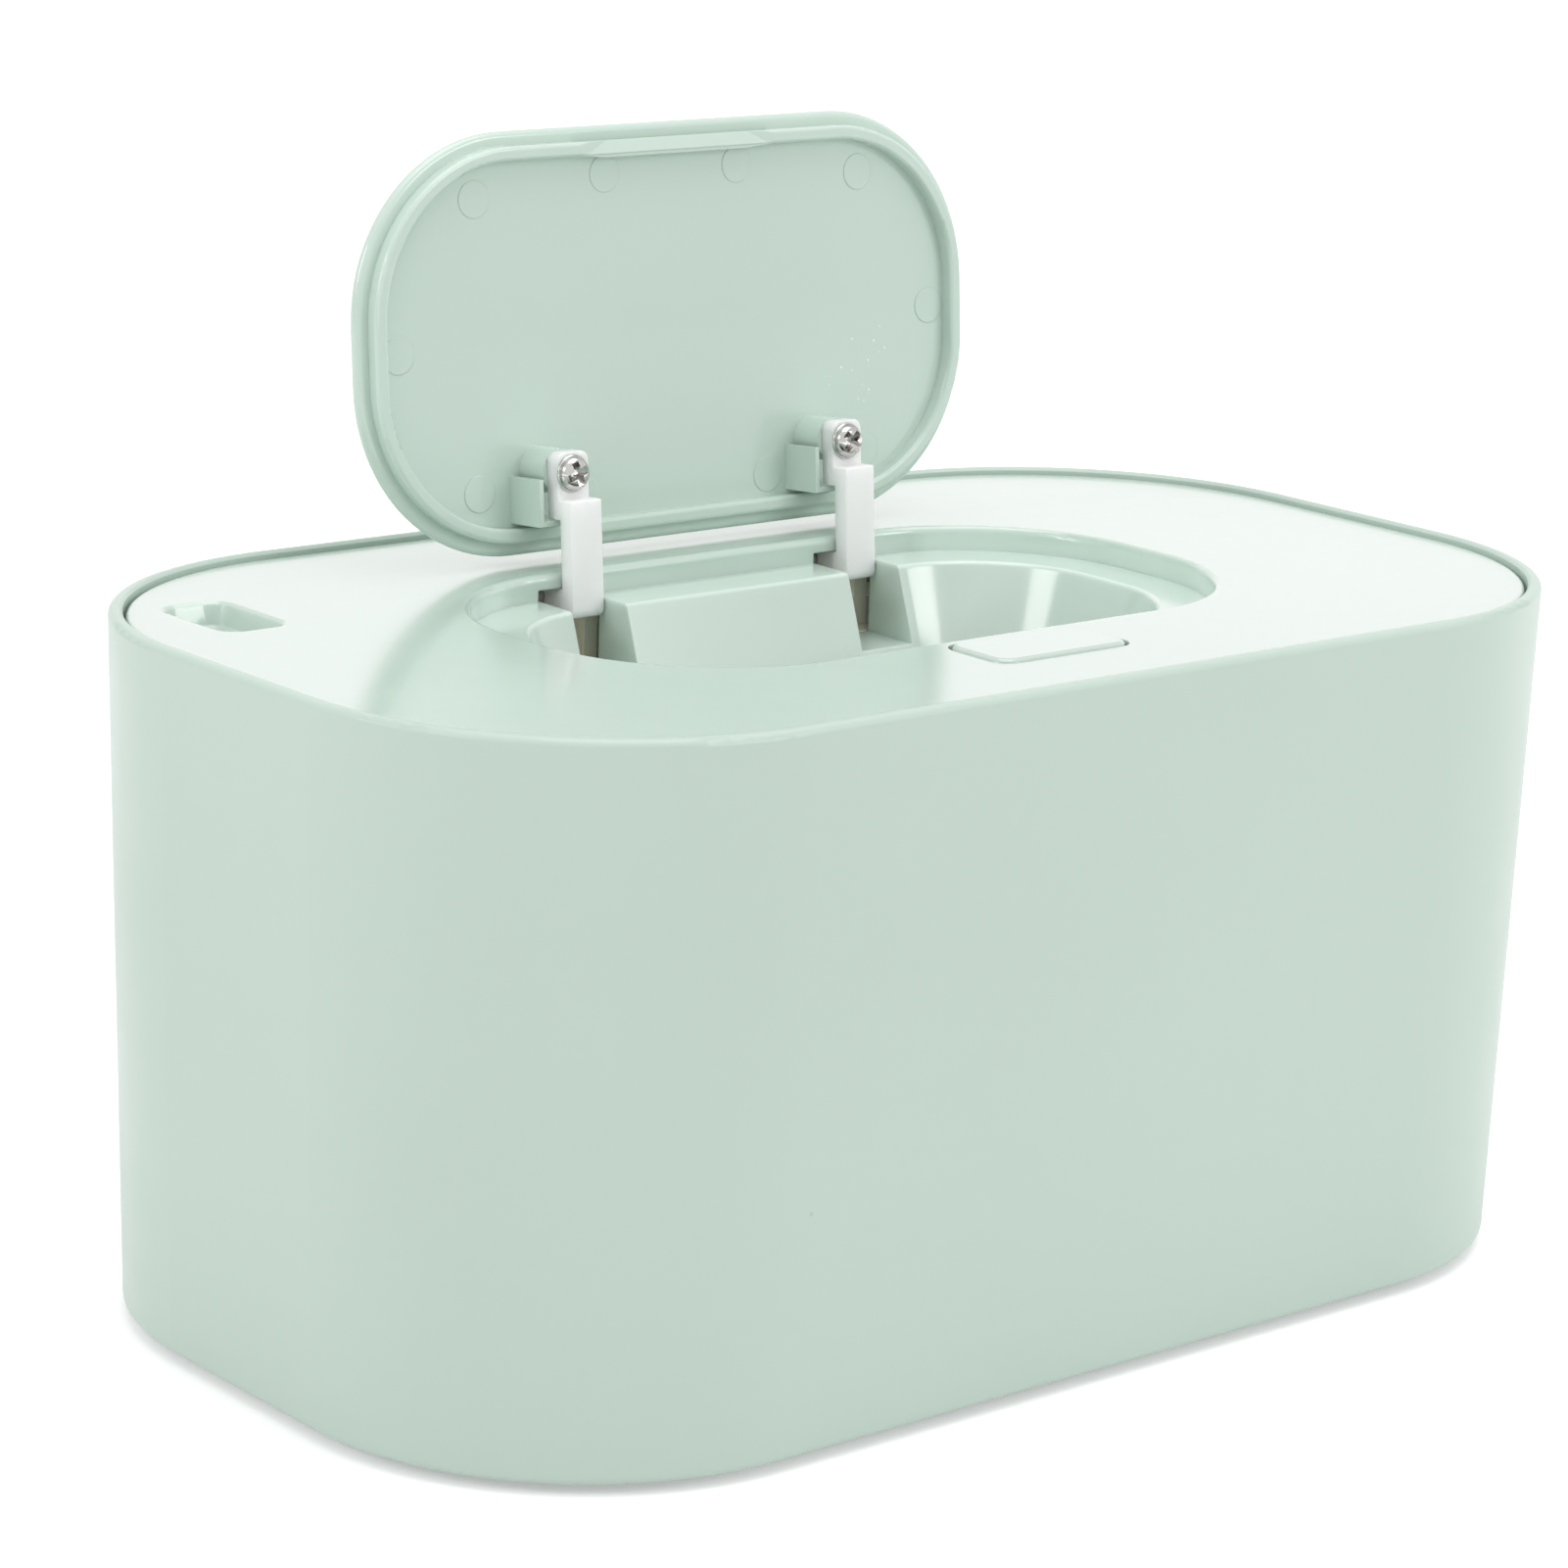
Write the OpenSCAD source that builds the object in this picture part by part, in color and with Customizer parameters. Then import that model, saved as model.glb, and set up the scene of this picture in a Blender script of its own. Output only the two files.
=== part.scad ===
// Baby wipe warmer with a sprung flip lid, modelled lid open and standing on its feet.
// X runs along the length, the push button is on the -Y side and the lid's hinge on the +Y side.

/* [Housing] */
// Length over the rim
body_len = 210; // [206:1:230]
// Width over the rim
body_wid = 126; // [124:1:140]
// Height of the housing without its feet
body_h = 100; // [95:1:120]
// Corner radius in plan at the rim
corner_r = 46; // [44:0.5:48]
// How far each side leans in from rim to base
draft = 2; // [1:0.25:3]
// Wall thickness of the housing
wall = 2; // [1.8:0.1:2.4]
// Radius of the rim's outer edge
rim_round = 1; // [0.5:0.1:1]
// Radius of the housing's bottom edge
base_round = 1.2; // [0.6:0.1:1.5]
// Depth of the tub's seat below the rim
shelf_drop = 15; // [14.5:0.5:17]
// Width of the ledge that carries the tub
shelf_w = 2.6; // [2.2:0.1:3]

/* [Feet and base] */
// How far the rubber feet stand out of the base
foot_h = 1.5; // [1:0.1:3]
// Radius of each foot
foot_r = 7; // [5:0.5:9]
// Depth of the pocket that holds a foot
foot_pocket = 1; // [0.6:0.1:1.2]
// Distance of the feet from the middle along the length
foot_x = 68; // [50:1:72]
// Distance of the feet from the middle across the width
foot_y = 36; // [30:1:38]
// Thickness of the base plate
base_t = 2.4; // [2:0.1:3]
// Gap between base plate and housing
base_gap = 0.3; // [0.2:0.05:0.5]
// Radius of the screw posts in the housing
post_r = 3.6; // [3.2:0.1:4]
// Distance of the screw posts from the corner centres
post_out = 35; // [33:0.5:36]
// Height of the raised screw seats on the base plate
seat_h = 4; // [3.6:0.1:5]
// Radius of the screw shanks in the base
base_screw_r = 1.3; // [1.1:0.1:1.5]
// Radius of the screw heads in the base
base_head_r = 2.7; // [2.4:0.1:3]

/* [Tub and heating] */
// Wall thickness of the tub
tub_t = 1.6; // [1.4:0.1:2]
// Gap between the tub's wall and the ledge that carries it
tub_gap = 0.4; // [0.3:0.05:0.8]
// Lean of the tub's wall
tub_draft = 2; // [1:0.25:3]
// Inside radius along the tub's floor
tub_round = 10; // [6:0.5:14]
// Height of the tub's underside above the base plate's underside
tub_lift = 15.1; // [15:0.1:20]
// Thickness of the tub's flange
flange_t = 1.8; // [1.4:0.1:2.4]
// Gap round the edge of the tub's flange
flange_gap = 0.35; // [0.2:0.05:0.6]
// Heater film length
film_len = 150; // [120:1:160]
// Heater film width
film_wid = 76; // [60:1:80]
// Heater film thickness
film_t = 0.4; // [0.3:0.05:0.6]
// Thickness of the insulation pad
pad_t = 3.2; // [2:0.1:3.4]
// Radius of the thermostat
stat_r = 7.5; // [6:0.5:9]
// Distance of the thermostat from the middle
stat_x = -34; // [-45:1:-28]

/* [Electronics] */
// Control board length
board_len = 64; // [58:1:80]
// Control board width
board_wid = 34; // [30:1:36]
// Control board thickness
board_t = 1.6; // [1:0.1:2]
// Height of the board above the base plate
board_lift = 3.1; // [2.5:0.1:3.4]
// Length of the socket's opening in the housing
socket_len = 13; // [12:0.5:15]
// Height of the socket's opening in the housing
socket_h = 7; // [6.5:0.1:8]
// Width of the socket itself
jack_w = 9; // [8.8:0.1:9.4]
// Height of the socket itself
jack_h = 3.3; // [3.2:0.05:3.6]

/* [Cover] */
// How far the cover lies below the rim
cover_drop = 0.9; // [0.5:0.1:2]
// Thickness of the cover
cover_t = 2.2; // [2:0.1:2.6]
// Gap between cover and rim
cover_gap = 0.45; // [0.3:0.05:0.8]
// Radius of the cover's top edge
cover_round = 0.6; // [0.3:0.1:1]
// Thickness of the skirt under the cover
skirt_t = 1.8; // [1.5:0.1:2.2]
// Length of the skirt under the cover
skirt_h = 7.3; // [6:0.1:8]
// Length of the lid's mouth
mouth_len = 115.6; // [112:0.2:124]
// Width of the lid's mouth
mouth_wid = 62.4; // [61:0.2:64]
// Corner radius of the lid's mouth
mouth_r = 27.2; // [26:0.1:29]
// Place of the mouth's middle across the width
mouth_y = -0.3; // [-1:0.1:1]
// Radius of the mouth's top edge
mouth_round = 1; // [0.5:0.1:1]
// Width of the ledge under the lid
ledge_w = 8.1; // [7:0.1:9]
// Depth of the throat below the ledge
throat_depth = 16; // [14:0.5:18]
// How far the throat narrows on each side
throat_taper = 5.7; // [4:0.1:6]
// Radius of the ledge's inner edge
ledge_round = 0.8; // [0.4:0.1:1.2]
// Wall thickness of recess and throat
mould_t = 2; // [1.6:0.1:2.2]
// Depth of the hinge slots below the ledge
slot_depth = 11.2; // [11:0.1:12]
// Wall thickness of the hinge slots
slot_t = 1.8; // [1.5:0.1:2]

/* [Finger notch] */
// Notch length along X
notch_len = 10.4; // [9:0.2:12]
// Notch width along Y
notch_wid = 17.7; // [15:0.2:20]
// Notch depth
notch_depth = 3.6; // [3:0.1:4.5]
// Corner radius of the notch
notch_r = 3; // [2.6:0.1:4]
// Slope of the notch's walls from top to floor
notch_slope = 1; // [0.6:0.1:1.4]
// Wall under the notch
notch_t = 1.5; // [1.2:0.1:2]
// Distance of the notch from the cover's middle
notch_x = 85.3; // [80:0.1:88]
// Place of the notch across the width
notch_y = 32; // [26:0.1:32]

/* [Lid] */
// Gap between lid and mouth at the ends
lid_gap_end = 0.9; // [0.6:0.1:1.2]
// Gap between lid and mouth at front and back
lid_gap_side = 0.6; // [0.5:0.1:0.9]
// Thickness of the lid
lid_t = 1.9; // [1.8:0.1:2]
// How far the closed lid stands above the cover
lid_proud = 0.5; // [0.4:0.1:0.6]
// Height of the rib that runs round under the lid
rib_h = 2.2; // [2:0.1:2.4]
// Width of that rib
rib_w = 2.1; // [1.6:0.1:2.6]
// Distance of the rib from the lid's edge
rib_inset = 2.1; // [1.8:0.05:2.2]
// Radius of the rib's edges
rib_round = 0.6; // [0.4:0.1:0.7]
// Gap between the closed lid's rib and the ledge
crest_gap = 0.1; // [0.1:0.05:0.3]
// Width of the catch in the middle of the front rib
catch_w = 36; // [34:0.5:40]
// Thickness of the catch
catch_t = 1; // [0.8:0.05:1]
// How much thicker the rib is at the catch
catch_in = 0.4; // [0.2:0.05:0.6]
// Length over which the catch fades into the rib
catch_fade = 5; // [3:0.5:8]
// Height of the screw bosses under the lid
boss_h = 5.7; // [5.5:0.1:6]
// Radius of the screw bosses
boss_r = 3.35; // [3:0.05:3.4]
// Thickness of the locating ribs beside the arms
guide_t = 0.8; // [0.6:0.05:0.9]
// Height of the locating ribs
guide_h = 7; // [6.5:0.1:7.2]
// Radius of the round ejector marks
mark_r = 2.7; // [2:0.1:3]
// How far these marks stand out
mark_h = 0.08; // [0.05:0.01:0.12]

/* [Hinge] */
// Opening angle of the lid
open_angle = 94.7; // [90:0.1:95]
// Distance from the lid's rear edge back to the hinge axis
pivot_back = 5.7; // [5.6:0.05:6]
// Depth of the hinge axis below the cover's top
pivot_drop = 4.3; // [4.2:0.05:4.5]
// Distance of each arm from the middle
arm_x = 25.8; // [24:0.1:32]
// Width of the arms
arm_w = 5.2; // [4.8:0.1:5.6]
// Thickness of the arm where the screw holds it
arm_t = 2.6; // [2.4:0.05:2.7]
// Thickness of the arm's long bar
bar_t = 2.9; // [2.6:0.05:2.9]
// Width of the arm's upright
leg_t = 3.7; // [3.2:0.05:3.8]
// Rounding of the arm's outer corner
arm_round = 2.4; // [1.5:0.1:2.6]
// Distance from the lid's rear edge to the arm's screw
screw_in = 12.4; // [12:0.1:13]
// Radius of the arm's eye
hub_r = 2.75; // [2.5:0.05:2.8]
// Radius of the hinge pin
pin_r = 1.25; // [1:0.05:1.3]
// Gap between pin and arms
press_gap = 0.02; // [0.01:0.01:0.03]
// Gap between pin and bracket
run_gap = 0.06; // [0.05:0.01:0.1]
// Room on the outer side of each arm in its slot
slot_far = 4; // [3.8:0.1:4.4]
// Room on the other side of each arm
slot_near = 0.6; // [0.4:0.1:0.8]
// Thickness of the bracket's ears
ear_t = 2.5; // [2:0.1:2.6]
// Thickness of the bracket's walls
bracket_t = 2; // [1.6:0.1:2]
// Depth of the bracket behind the hinge axis
bracket_back = 8; // [7.5:0.1:9]
// Wire radius of the hinge spring
coil_wire = 0.5; // [0.4:0.05:0.55]
// Mean radius of the hinge spring
coil_r = 2.15; // [2.05:0.05:2.2]
// Turns of the hinge spring
coil_turns = 9; // [6:1:11]

/* [Screws] */
// Radius of the arm screws' washer heads
arm_head_r = 2.75; // [2.5:0.05:2.9]
// Height of the arm screws' heads
arm_head_h = 1.7; // [1.4:0.1:1.8]
// Radius of the arm screws' shanks
arm_shank_r = 1.2; // [1:0.05:1.3]
// Radius of the small screws' heads
small_head_r = 2.3; // [2:0.1:2.4]
// Radius of the small screws' shanks
small_shank_r = 1.1; // [0.9:0.05:1.2]
// Gap between a screw and its hole
screw_gap = 0.03; // [0.02:0.01:0.05]

/* [Button and latch] */
// Length of the button's opening
key_len = 25; // [24:0.1:25]
// Width of the button's opening
key_wid = 13.1; // [12.8:0.1:14]
// Corner radius of the button's opening
key_r = 3; // [2.5:0.1:3.5]
// Web between the mouth and the button's opening
key_web = 2.1; // [2.1:0.1:2.6]
// Gap round the button
key_gap = 0.5; // [0.4:0.05:0.6]
// How far the button stands above the cover
key_proud = 0.4; // [0.2:0.1:1]
// Radius of the button's top edge
key_round = 0.8; // [0.5:0.1:1]
// Wall thickness of the button
key_t = 1.2; // [1:0.1:1.4]
// Thickness of the button's top
key_top = 1.6; // [1.2:0.1:1.6]
// Travel of the button and of the latch
travel = 2; // [1.5:0.1:2]
// How far the latch reaches over the lid's catch
bite = 0.6; // [0.4:0.05:0.7]
// Thickness of the latch's tips
tip_t = 0.9; // [0.8:0.05:0.95]
// Width of each latch prong
prong_w = 4; // [3:0.1:4]
// Thickness of the slider
slider_t = 2.4; // [2:0.1:2.6]
// Thickness of the button's slanted legs
cam_t = 2; // [1.6:0.1:2]
// Gap between sliding faces
slide_gap = 0.15; // [0.1:0.01:0.2]

/* [Hidden] */
$fn = 96;
eps = 0.01;

mint = [0.78, 0.84, 0.8];
nylon = [0.9, 0.91, 0.89];
cream = [0.86, 0.83, 0.72];
steel = [0.72, 0.73, 0.75];
rubber = [0.86, 0.87, 0.86];

// corner centres of the housing in plan, shared by base, tub, seal and cover
hx = body_len / 2 - corner_r;
hy = body_wid / 2 - corner_r;
z_base = foot_h;
z_rim = foot_h + body_h;
z_shelf = z_rim - shelf_drop;
z_top = z_rim - cover_drop;
z_under = z_top - cover_t;
z_lid = z_top + lid_proud;
z_panel = z_lid - lid_t;
z_crest = z_panel - rib_h;
z_ledge = z_crest - crest_gap;
z_throat = z_ledge - throat_depth;
z_skirt = z_under - skirt_h;
z_floor = z_ledge - slot_depth;
z_flange = z_shelf + flange_t;
z_tub = z_base + tub_lift;
z_plate = z_base + base_t;
z_seat = z_base + seat_h;
z_board = z_plate + board_lift;
z_jack = z_board + board_t + jack_h / 2;
z_pad = z_tub - film_t - pad_t;

// inside radius of the housing and of the throat at height z
function shell_in(z) = corner_r - wall - draft * (z_rim - z) / body_h;
ledge_in = mouth_r - ledge_w;
function throat_in(z) = ledge_in - throat_taper * (z_ledge - z) / throat_depth;
cover_r = corner_r - wall - cover_gap;
skirt_out = cover_r - cover_gap;
tub_top = shell_in(z_shelf) - shelf_w - tub_gap - tub_t;
tub_low = tub_top - tub_draft;

// mouth and lid
mx = mouth_len / 2 - mouth_r;
my = mouth_wid / 2 - mouth_r;
mouth_back = mouth_y + mouth_wid / 2;
mouth_front = mouth_y - mouth_wid / 2;
lid_r = mouth_r - (lid_gap_end + lid_gap_side) / 2;
lx = mouth_len / 2 - lid_gap_end - lid_r;
ly = mouth_wid / 2 - lid_gap_side - lid_r;
lid_back = mouth_back - lid_gap_side;
lid_front = mouth_front + lid_gap_side;

// hinge
pivot_y = lid_back + pivot_back;
pivot_z = z_top - pivot_drop;
screw_y = lid_back - screw_in;
z_arm = z_panel - boss_h;
z_bar = z_arm - arm_t;
arm_end = lid_back - 5.8;
guide_l = 5.9;
guide_gap = 0.2;
slot_w = slot_far + arm_w + slot_near;
slots = [-arm_x - arm_w / 2 - slot_far, arm_x - arm_w / 2 - slot_far];
ear_gap = 0.5;
bar_gap = 0.2;
relief = 0.3;
ears = [slots[0] - ear_gap - ear_t, slots[0] + slot_w + ear_gap,
    slots[1] - ear_gap - ear_t, slots[1] + slot_w + ear_gap];
bracket_x = [ears[0], ears[3] + ear_t];
bracket_y = pivot_y + bracket_back;
tab_w = 9.6;
tab_z = pivot_z - pivot_drop;
bracket_holes = [bracket_x[0] - tab_w / 2, bracket_x[1] + tab_w / 2];
bracket_hole_y = pivot_y + 2.5;
boss_wall = 3;
small_head_h = 1.4;
coil_pitch = 2 * coil_wire + 0.6;
leg_x = coil_x(coil_turns - (180 - open_angle) / 360);
leg_z = pivot_z - coil_r;

// button and latch
key_back = mouth_front - key_web;
key_y = key_back - key_wid / 2;
kx = key_len / 2 - key_r;
ky = key_wid / 2 - key_r;
key_r_in = key_r - key_gap + 0.3;
bx = key_len / 2 - key_gap - key_r_in;
by = key_wid / 2 - key_gap + 0.1 - key_r_in;
z_key = z_top + key_proud;
z_cap = z_key - key_top;
z_skirt_key = z_under - 0.3 - 1;
z_slider = z_skirt_key - travel - 0.5 - slider_t;
prong_x = key_len / 2 + 0.9;
slider_x = prong_x + prong_w;
slider_l = 11.6;
slider_back = key_back - 0.6;
slider_front = slider_back - slider_l;
cam_x = 6.4;
cam_w = 2.4;
cam_y = key_y - by - key_r_in + key_t;
cam_tip = z_slider - 0.8;
coil_y = key_y - 0.95;
button_coil_r = 2.7;
button_wire = 0.35;
z_rail = z_slider - slide_gap;
z_tray = z_slider - travel - 1.1;
tray_t = 1.6;
tray_wall = 1.2;
tray_x = slider_x + 0.5;
tray_front = slider_front - travel - 0.6;
tray_ear = 6.6;
tray_ear_t = 1.8;
z_tray_ear = z_tray + 2.1;
tray_hole_x = tray_x + tray_wall + tray_ear / 2;
tray_hole_y = key_y - 0.95;
z_tip = z_crest + catch_t + slide_gap;
catch_y = lid_front + rib_inset;
catch_back = catch_y + rib_w + catch_in;
ramp_h = 0.7;
tip_round = 0.5;

// base
posts = [for (sx = [-1, 1], sy = [-1, 1])
    [sx * (hx + post_out / sqrt(2)), sy * (hy + post_out / sqrt(2))]];
board_y = hy + shell_in(z_jack) - 0.6 - board_wid / 2;
board_holes = [for (sx = [-1, 1], sy = [-1, 1])
    [sx * (board_len / 2 - 4), board_y + sy * (board_wid / 2 - 4)]];
film_tab = 8;
base_rib_t = 1.5;
base_rib_step = 0.65 * hy;
props = [[-0.4, -0.4], [-0.4, 0.4], [0.4, -0.4], [0.4, 0.4], [0, -0.4]];
tab_in = 2;
lead_r = 0.6;
lead_gap = 0.05;
lead_in = 2.2;
film_lead_x = 6;
stat_h = 4;
stat_lead_x = -0.34 * board_len;
term_x = 3;
term_t = 0.8;
term_w = 2;
// place of the ejector marks as a share of the mouth's size from its middle
marks = [[0.62, -0.68], [0.213, -0.756], [0.86, 0], [0.628, 0.673], [0.298, 0.74]];
// place on the board as a share of its size, then length, width and height
chips = [[-0.19, -0.03, 8, 6, 1.4], [0.24, -0.03, 6, 10, 2.2], [0.02, -0.05, 6, 3, 1]];
// place on the board, then radius and height
cans = [[-0.31, 0.12, 2.5, 3], [0.33, 0.03, 2, 3]];

function unit(v) = v / norm(v);

// place along the pin that the hinge spring has reached after some turns
function coil_x(turn) = (ears[1] + ears[2] + ear_t) / 2 + (turn - coil_turns / 2) * coil_pitch;

// flat rounded rectangle, given by the centres and radius of its corners
module plan(cx, cy, rad) {
    square([2 * cx, 2 * (cy + rad)], center = true);
    square([2 * (cx + rad), 2 * cy], center = true);
    for (sx = [-1, 1], sy = [-1, 1]) translate([sx * cx, sy * cy]) circle(rad);
}

module slab(cx, cy, rad, z0, z1) {
    translate([0, 0, z0]) linear_extrude(z1 - z0) plan(cx, cy, rad);
}

// runs a profile round a rounded rectangle: x is the distance out from the corner centre, y the height
module swept(cx, cy) {
    for (k = [0:3])
        translate([(k == 0 || k == 3 ? 1 : -1) * cx, (k < 2 ? 1 : -1) * cy, 0])
            rotate([0, 0, 90 * k]) rotate_extrude(angle = 90) children();
    for (m = [0, 1]) {
        mirror([0, m, 0]) translate([-cx, cy, 0]) rotate([90, 0, 90]) linear_extrude(2 * cx) children();
        mirror([m, 0, 0]) translate([cx, cy, 0]) rotate([90, 0, 0]) linear_extrude(2 * cy) children();
    }
}

// stretches a side profile (y, z) from x0 to x1
module across(x0, x1) {
    translate([x0, 0, 0]) rotate([90, 0, 90]) linear_extrude(x1 - x0) children();
}

module block(x0, x1, y0, y1, z0, z1) {
    translate([x0, y0, z0]) cube([x1 - x0, y1 - y0, z1 - z0]);
}

module rod(x, y, z0, z1, rad) {
    translate([x, y, z0]) cylinder(r = rad, h = z1 - z0);
}

// round wire along a list of points; it never runs along ref
module wire(pts, rad, ref, sides = 8) {
    n = len(pts);
    dirs = [for (i = [0:n - 1]) unit(pts[min(i + 1, n - 1)] - pts[max(i - 1, 0)])];
    rings = [for (i = [0:n - 1])
        let (u = unit(cross(dirs[i], ref)), v = cross(u, dirs[i]))
        for (k = [0:sides - 1]) let (a = 360 * k / sides) pts[i] + rad * (u * cos(a) + v * sin(a))];
    skin = [for (i = [0:n - 2], k = [0:sides - 1])
        let (a = i * sides + k, b = i * sides + (k + 1) % sides)
        each [[a, b, b + sides], [a, b + sides, a + sides]]];
    near = [for (k = [1:sides - 2]) [0, k + 1, k]];
    far = [for (k = [1:sides - 2]) (n - 1) * sides * [1, 1, 1] + [0, k, k + 1]];
    polyhedron(rings, concat(skin, near, far));
}

// turns whatever is drawn with the lid shut to where it stands with the lid open
module opened() {
    translate([0, pivot_y, pivot_z]) rotate([-open_angle, 0, 0])
        translate([0, -pivot_y, -pivot_z]) children();
}

// cross recess cut down into a screw head
module cross_recess(depth, reach) {
    for (a = [0, 90]) rotate([0, 0, a])
        translate([-reach, -0.4, -depth]) cube([2 * reach, 0.8, depth + 1]);
}

// pan head screw with a washer face standing on z = 0 and its shank going down
module pan_screw(head_r, head_h, shank_r, shank_l) {
    pan_r = head_r * 0.8;
    edge = head_h * 0.5;
    difference() {
        rotate_extrude() {
            square([head_r - head_h * 0.15, head_h * 0.3]);
            translate([head_r - head_h * 0.15, head_h * 0.15]) circle(head_h * 0.15);
            square([pan_r, head_h - edge]);
            square([pan_r - edge, head_h]);
            intersection() {
                translate([pan_r - edge, head_h - edge]) circle(edge);
                square([pan_r, head_h]);
            }
        }
        translate([0, 0, head_h]) cross_recess(head_h * 0.55, head_r * 0.5);
    }
    translate([0, 0, -shank_l]) cylinder(r = shank_r, h = shank_l + eps);
}

// housing

module shell_wall() {
    polygon([[corner_r - draft - base_round, z_base],
        [corner_r - draft, z_base + base_round],
        [corner_r, z_rim - rim_round],
        [corner_r - rim_round, z_rim],
        [corner_r - wall + 0.4, z_rim],
        [corner_r - wall, z_rim - 0.4],
        [shell_in(z_base), z_base]]);
    translate([corner_r - rim_round, z_rim - rim_round]) circle(rim_round);
    intersection() {
        translate([corner_r - draft - base_round, z_base + base_round]) circle(base_round);
        translate([shell_in(z_base) + 0.2, z_base]) square([wall, wall]);
    }
    // seat for the tub
    polygon([[shell_in(z_shelf) + 0.5, z_shelf],
        [shell_in(z_shelf) - shelf_w, z_shelf],
        [shell_in(z_shelf) - shelf_w, z_shelf - 1],
        [shell_in(z_shelf) + 0.5, z_shelf - 1.5 - shelf_w]]);
}

module outer_shell() {
    color(mint) difference() {
        union() {
            swept(hx, hy) shell_wall();
            for (p = posts) {
                rod(p[0], p[1], z_seat, z_pad - 0.6, post_r);
                translate([p[0], p[1], z_seat])
                    rotate([0, 0, atan2(p[1] - sign(p[1]) * hy, p[0] - sign(p[0]) * hx)])
                        block(0, shell_in(z_seat) - post_out + 0.8, -1, 1, 0, z_pad - 0.6 - z_seat);
            }
        }
        for (p = posts) rod(p[0], p[1], z_seat - 1, z_pad - 2, base_screw_r + screw_gap);
        translate([0, hy + corner_r + 1, z_jack]) rotate([90, 0, 0])
            linear_extrude(wall + 3) plan(socket_len / 2 - socket_h / 2 + 0.2, 0.2, socket_h / 2 - 0.2);
    }
}

module base_plate() {
    color([0.74, 0.79, 0.76]) difference() {
        union() {
            slab(hx, hy, shell_in(z_base) - base_gap, z_base, z_plate);
            for (p = posts) rod(p[0], p[1], z_base, z_seat, post_r + 1);
            for (p = board_holes) rod(p[0], p[1], z_base, z_board, 3);
            // props that carry the insulation pad
            for (p = props) rod(p[0] * film_len, p[1] * film_wid, z_base, z_pad, 4);
            for (k = [0:2]) block(-hx, hx, -k * base_rib_step, base_rib_t - k * base_rib_step,
                z_base, z_plate + base_t);
        }
        for (sx = [-1, 1], sy = [-1, 1])
            rod(sx * foot_x, sy * foot_y, z_base - 1, z_base + foot_pocket, foot_r + 0.1);
        for (p = posts) {
            rod(p[0], p[1], z_base - 1, z_base + 2.2, base_head_r + 0.2);
            rod(p[0], p[1], z_base, z_seat + 1, base_screw_r + 0.15);
        }
        for (p = board_holes) rod(p[0], p[1], z_base + 1, z_board + 1, small_shank_r + screw_gap);
    }
}

module rubber_feet() {
    color(rubber) for (sx = [-1, 1], sy = [-1, 1]) translate([sx * foot_x, sy * foot_y, 0])
        rotate_extrude() {
            square([foot_r - 0.8, foot_h + foot_pocket]);
            translate([0, 0.8]) square([foot_r, foot_h + foot_pocket - 0.8]);
            translate([foot_r - 0.8, 0.8]) circle(0.8);
        }
}

module base_screws() {
    color(steel) for (p = posts) translate([p[0], p[1], z_base + 2.2]) rotate([180, 0, 0])
        pan_screw(base_head_r, 1.7, base_screw_r, z_pad - 3 - z_base - 2.2);
}

// tub and heating

module tub_wall() {
    round_out = tub_round + tub_t;
    mid = tub_low - tub_round;
    z_mid = z_tub + round_out;
    difference() {
        union() {
            polygon([[mid - 1, z_tub], [mid, z_tub], [tub_low + tub_t, z_mid], [tub_top + tub_t, z_shelf],
                [tub_top + tub_t, z_flange], [mid - 1, z_flange]]);
            translate([mid, z_mid]) circle(round_out);
            translate([mid, z_shelf]) square([shell_in(z_shelf) - flange_gap - mid, flange_t]);
        }
        polygon([[mid - 2, z_tub + tub_t], [mid, z_tub + tub_t], [tub_low, z_mid],
            [tub_top, z_flange - 0.6], [tub_top + 0.6, z_flange + 1], [mid - 2, z_flange + 1]]);
        translate([mid, z_mid]) circle(tub_round);
    }
}

module inner_tub() {
    color([0.95, 0.95, 0.94]) {
        swept(hx, hy) intersection() {
            tub_wall();
            translate([tub_low - tub_round - 1, 0]) square([body_wid, z_rim]);
        }
        slab(hx, hy, tub_low - tub_round - 0.5, z_tub, z_tub + tub_t);
    }
}

module heater_film() {
    color([0.83, 0.6, 0.28]) {
        slab(film_len / 2 - 5, film_wid / 2 - 5, 5, z_tub - film_t, z_tub);
        block(-film_len / 15, film_len / 15, film_wid / 2 - 1, film_wid / 2 + film_tab,
            z_tub - film_t, z_tub);
    }
}

module insulation_pad() {
    color([0.88, 0.86, 0.8]) difference() {
        slab(film_len / 2 - 5, film_wid / 2 - 5, 5, z_pad, z_pad + pad_t);
        rod(stat_x, 0, z_pad - 1, z_tub, stat_r + 1.5);
    }
}

module thermostat() {
    color([0.2, 0.2, 0.22]) {
        rod(stat_x, 0, z_tub - film_t - 2.6, z_tub - film_t, stat_r);
        rod(stat_x, 0, z_tub - film_t - stat_h, z_tub - film_t - 2, stat_r - 2);
        for (s = [-1, 1]) {
            x = stat_x + s * term_x;
            block(x - term_w / 2, x + term_w / 2, -term_t / 2, term_t / 2,
                z_tub - film_t - stat_h - 4, z_tub - film_t - stat_h + 1);
        }
    }
}

// smooth run of wire from one end to the other, straight for the first and the last piece
function run(a, a_dir, b, b_dir, reach) =
    let (p = a + lead_r * a_dir, q = b + lead_r * b_dir)
    let (pc = p + reach[0] * a_dir, qc = q + reach[1] * b_dir)
    concat([a], [for (t = [0:0.05:1])
        pow(1 - t, 3) * p + 3 * pow(1 - t, 2) * t * pc + 3 * (1 - t) * t * t * qc + t * t * t * q], [b]);

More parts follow.
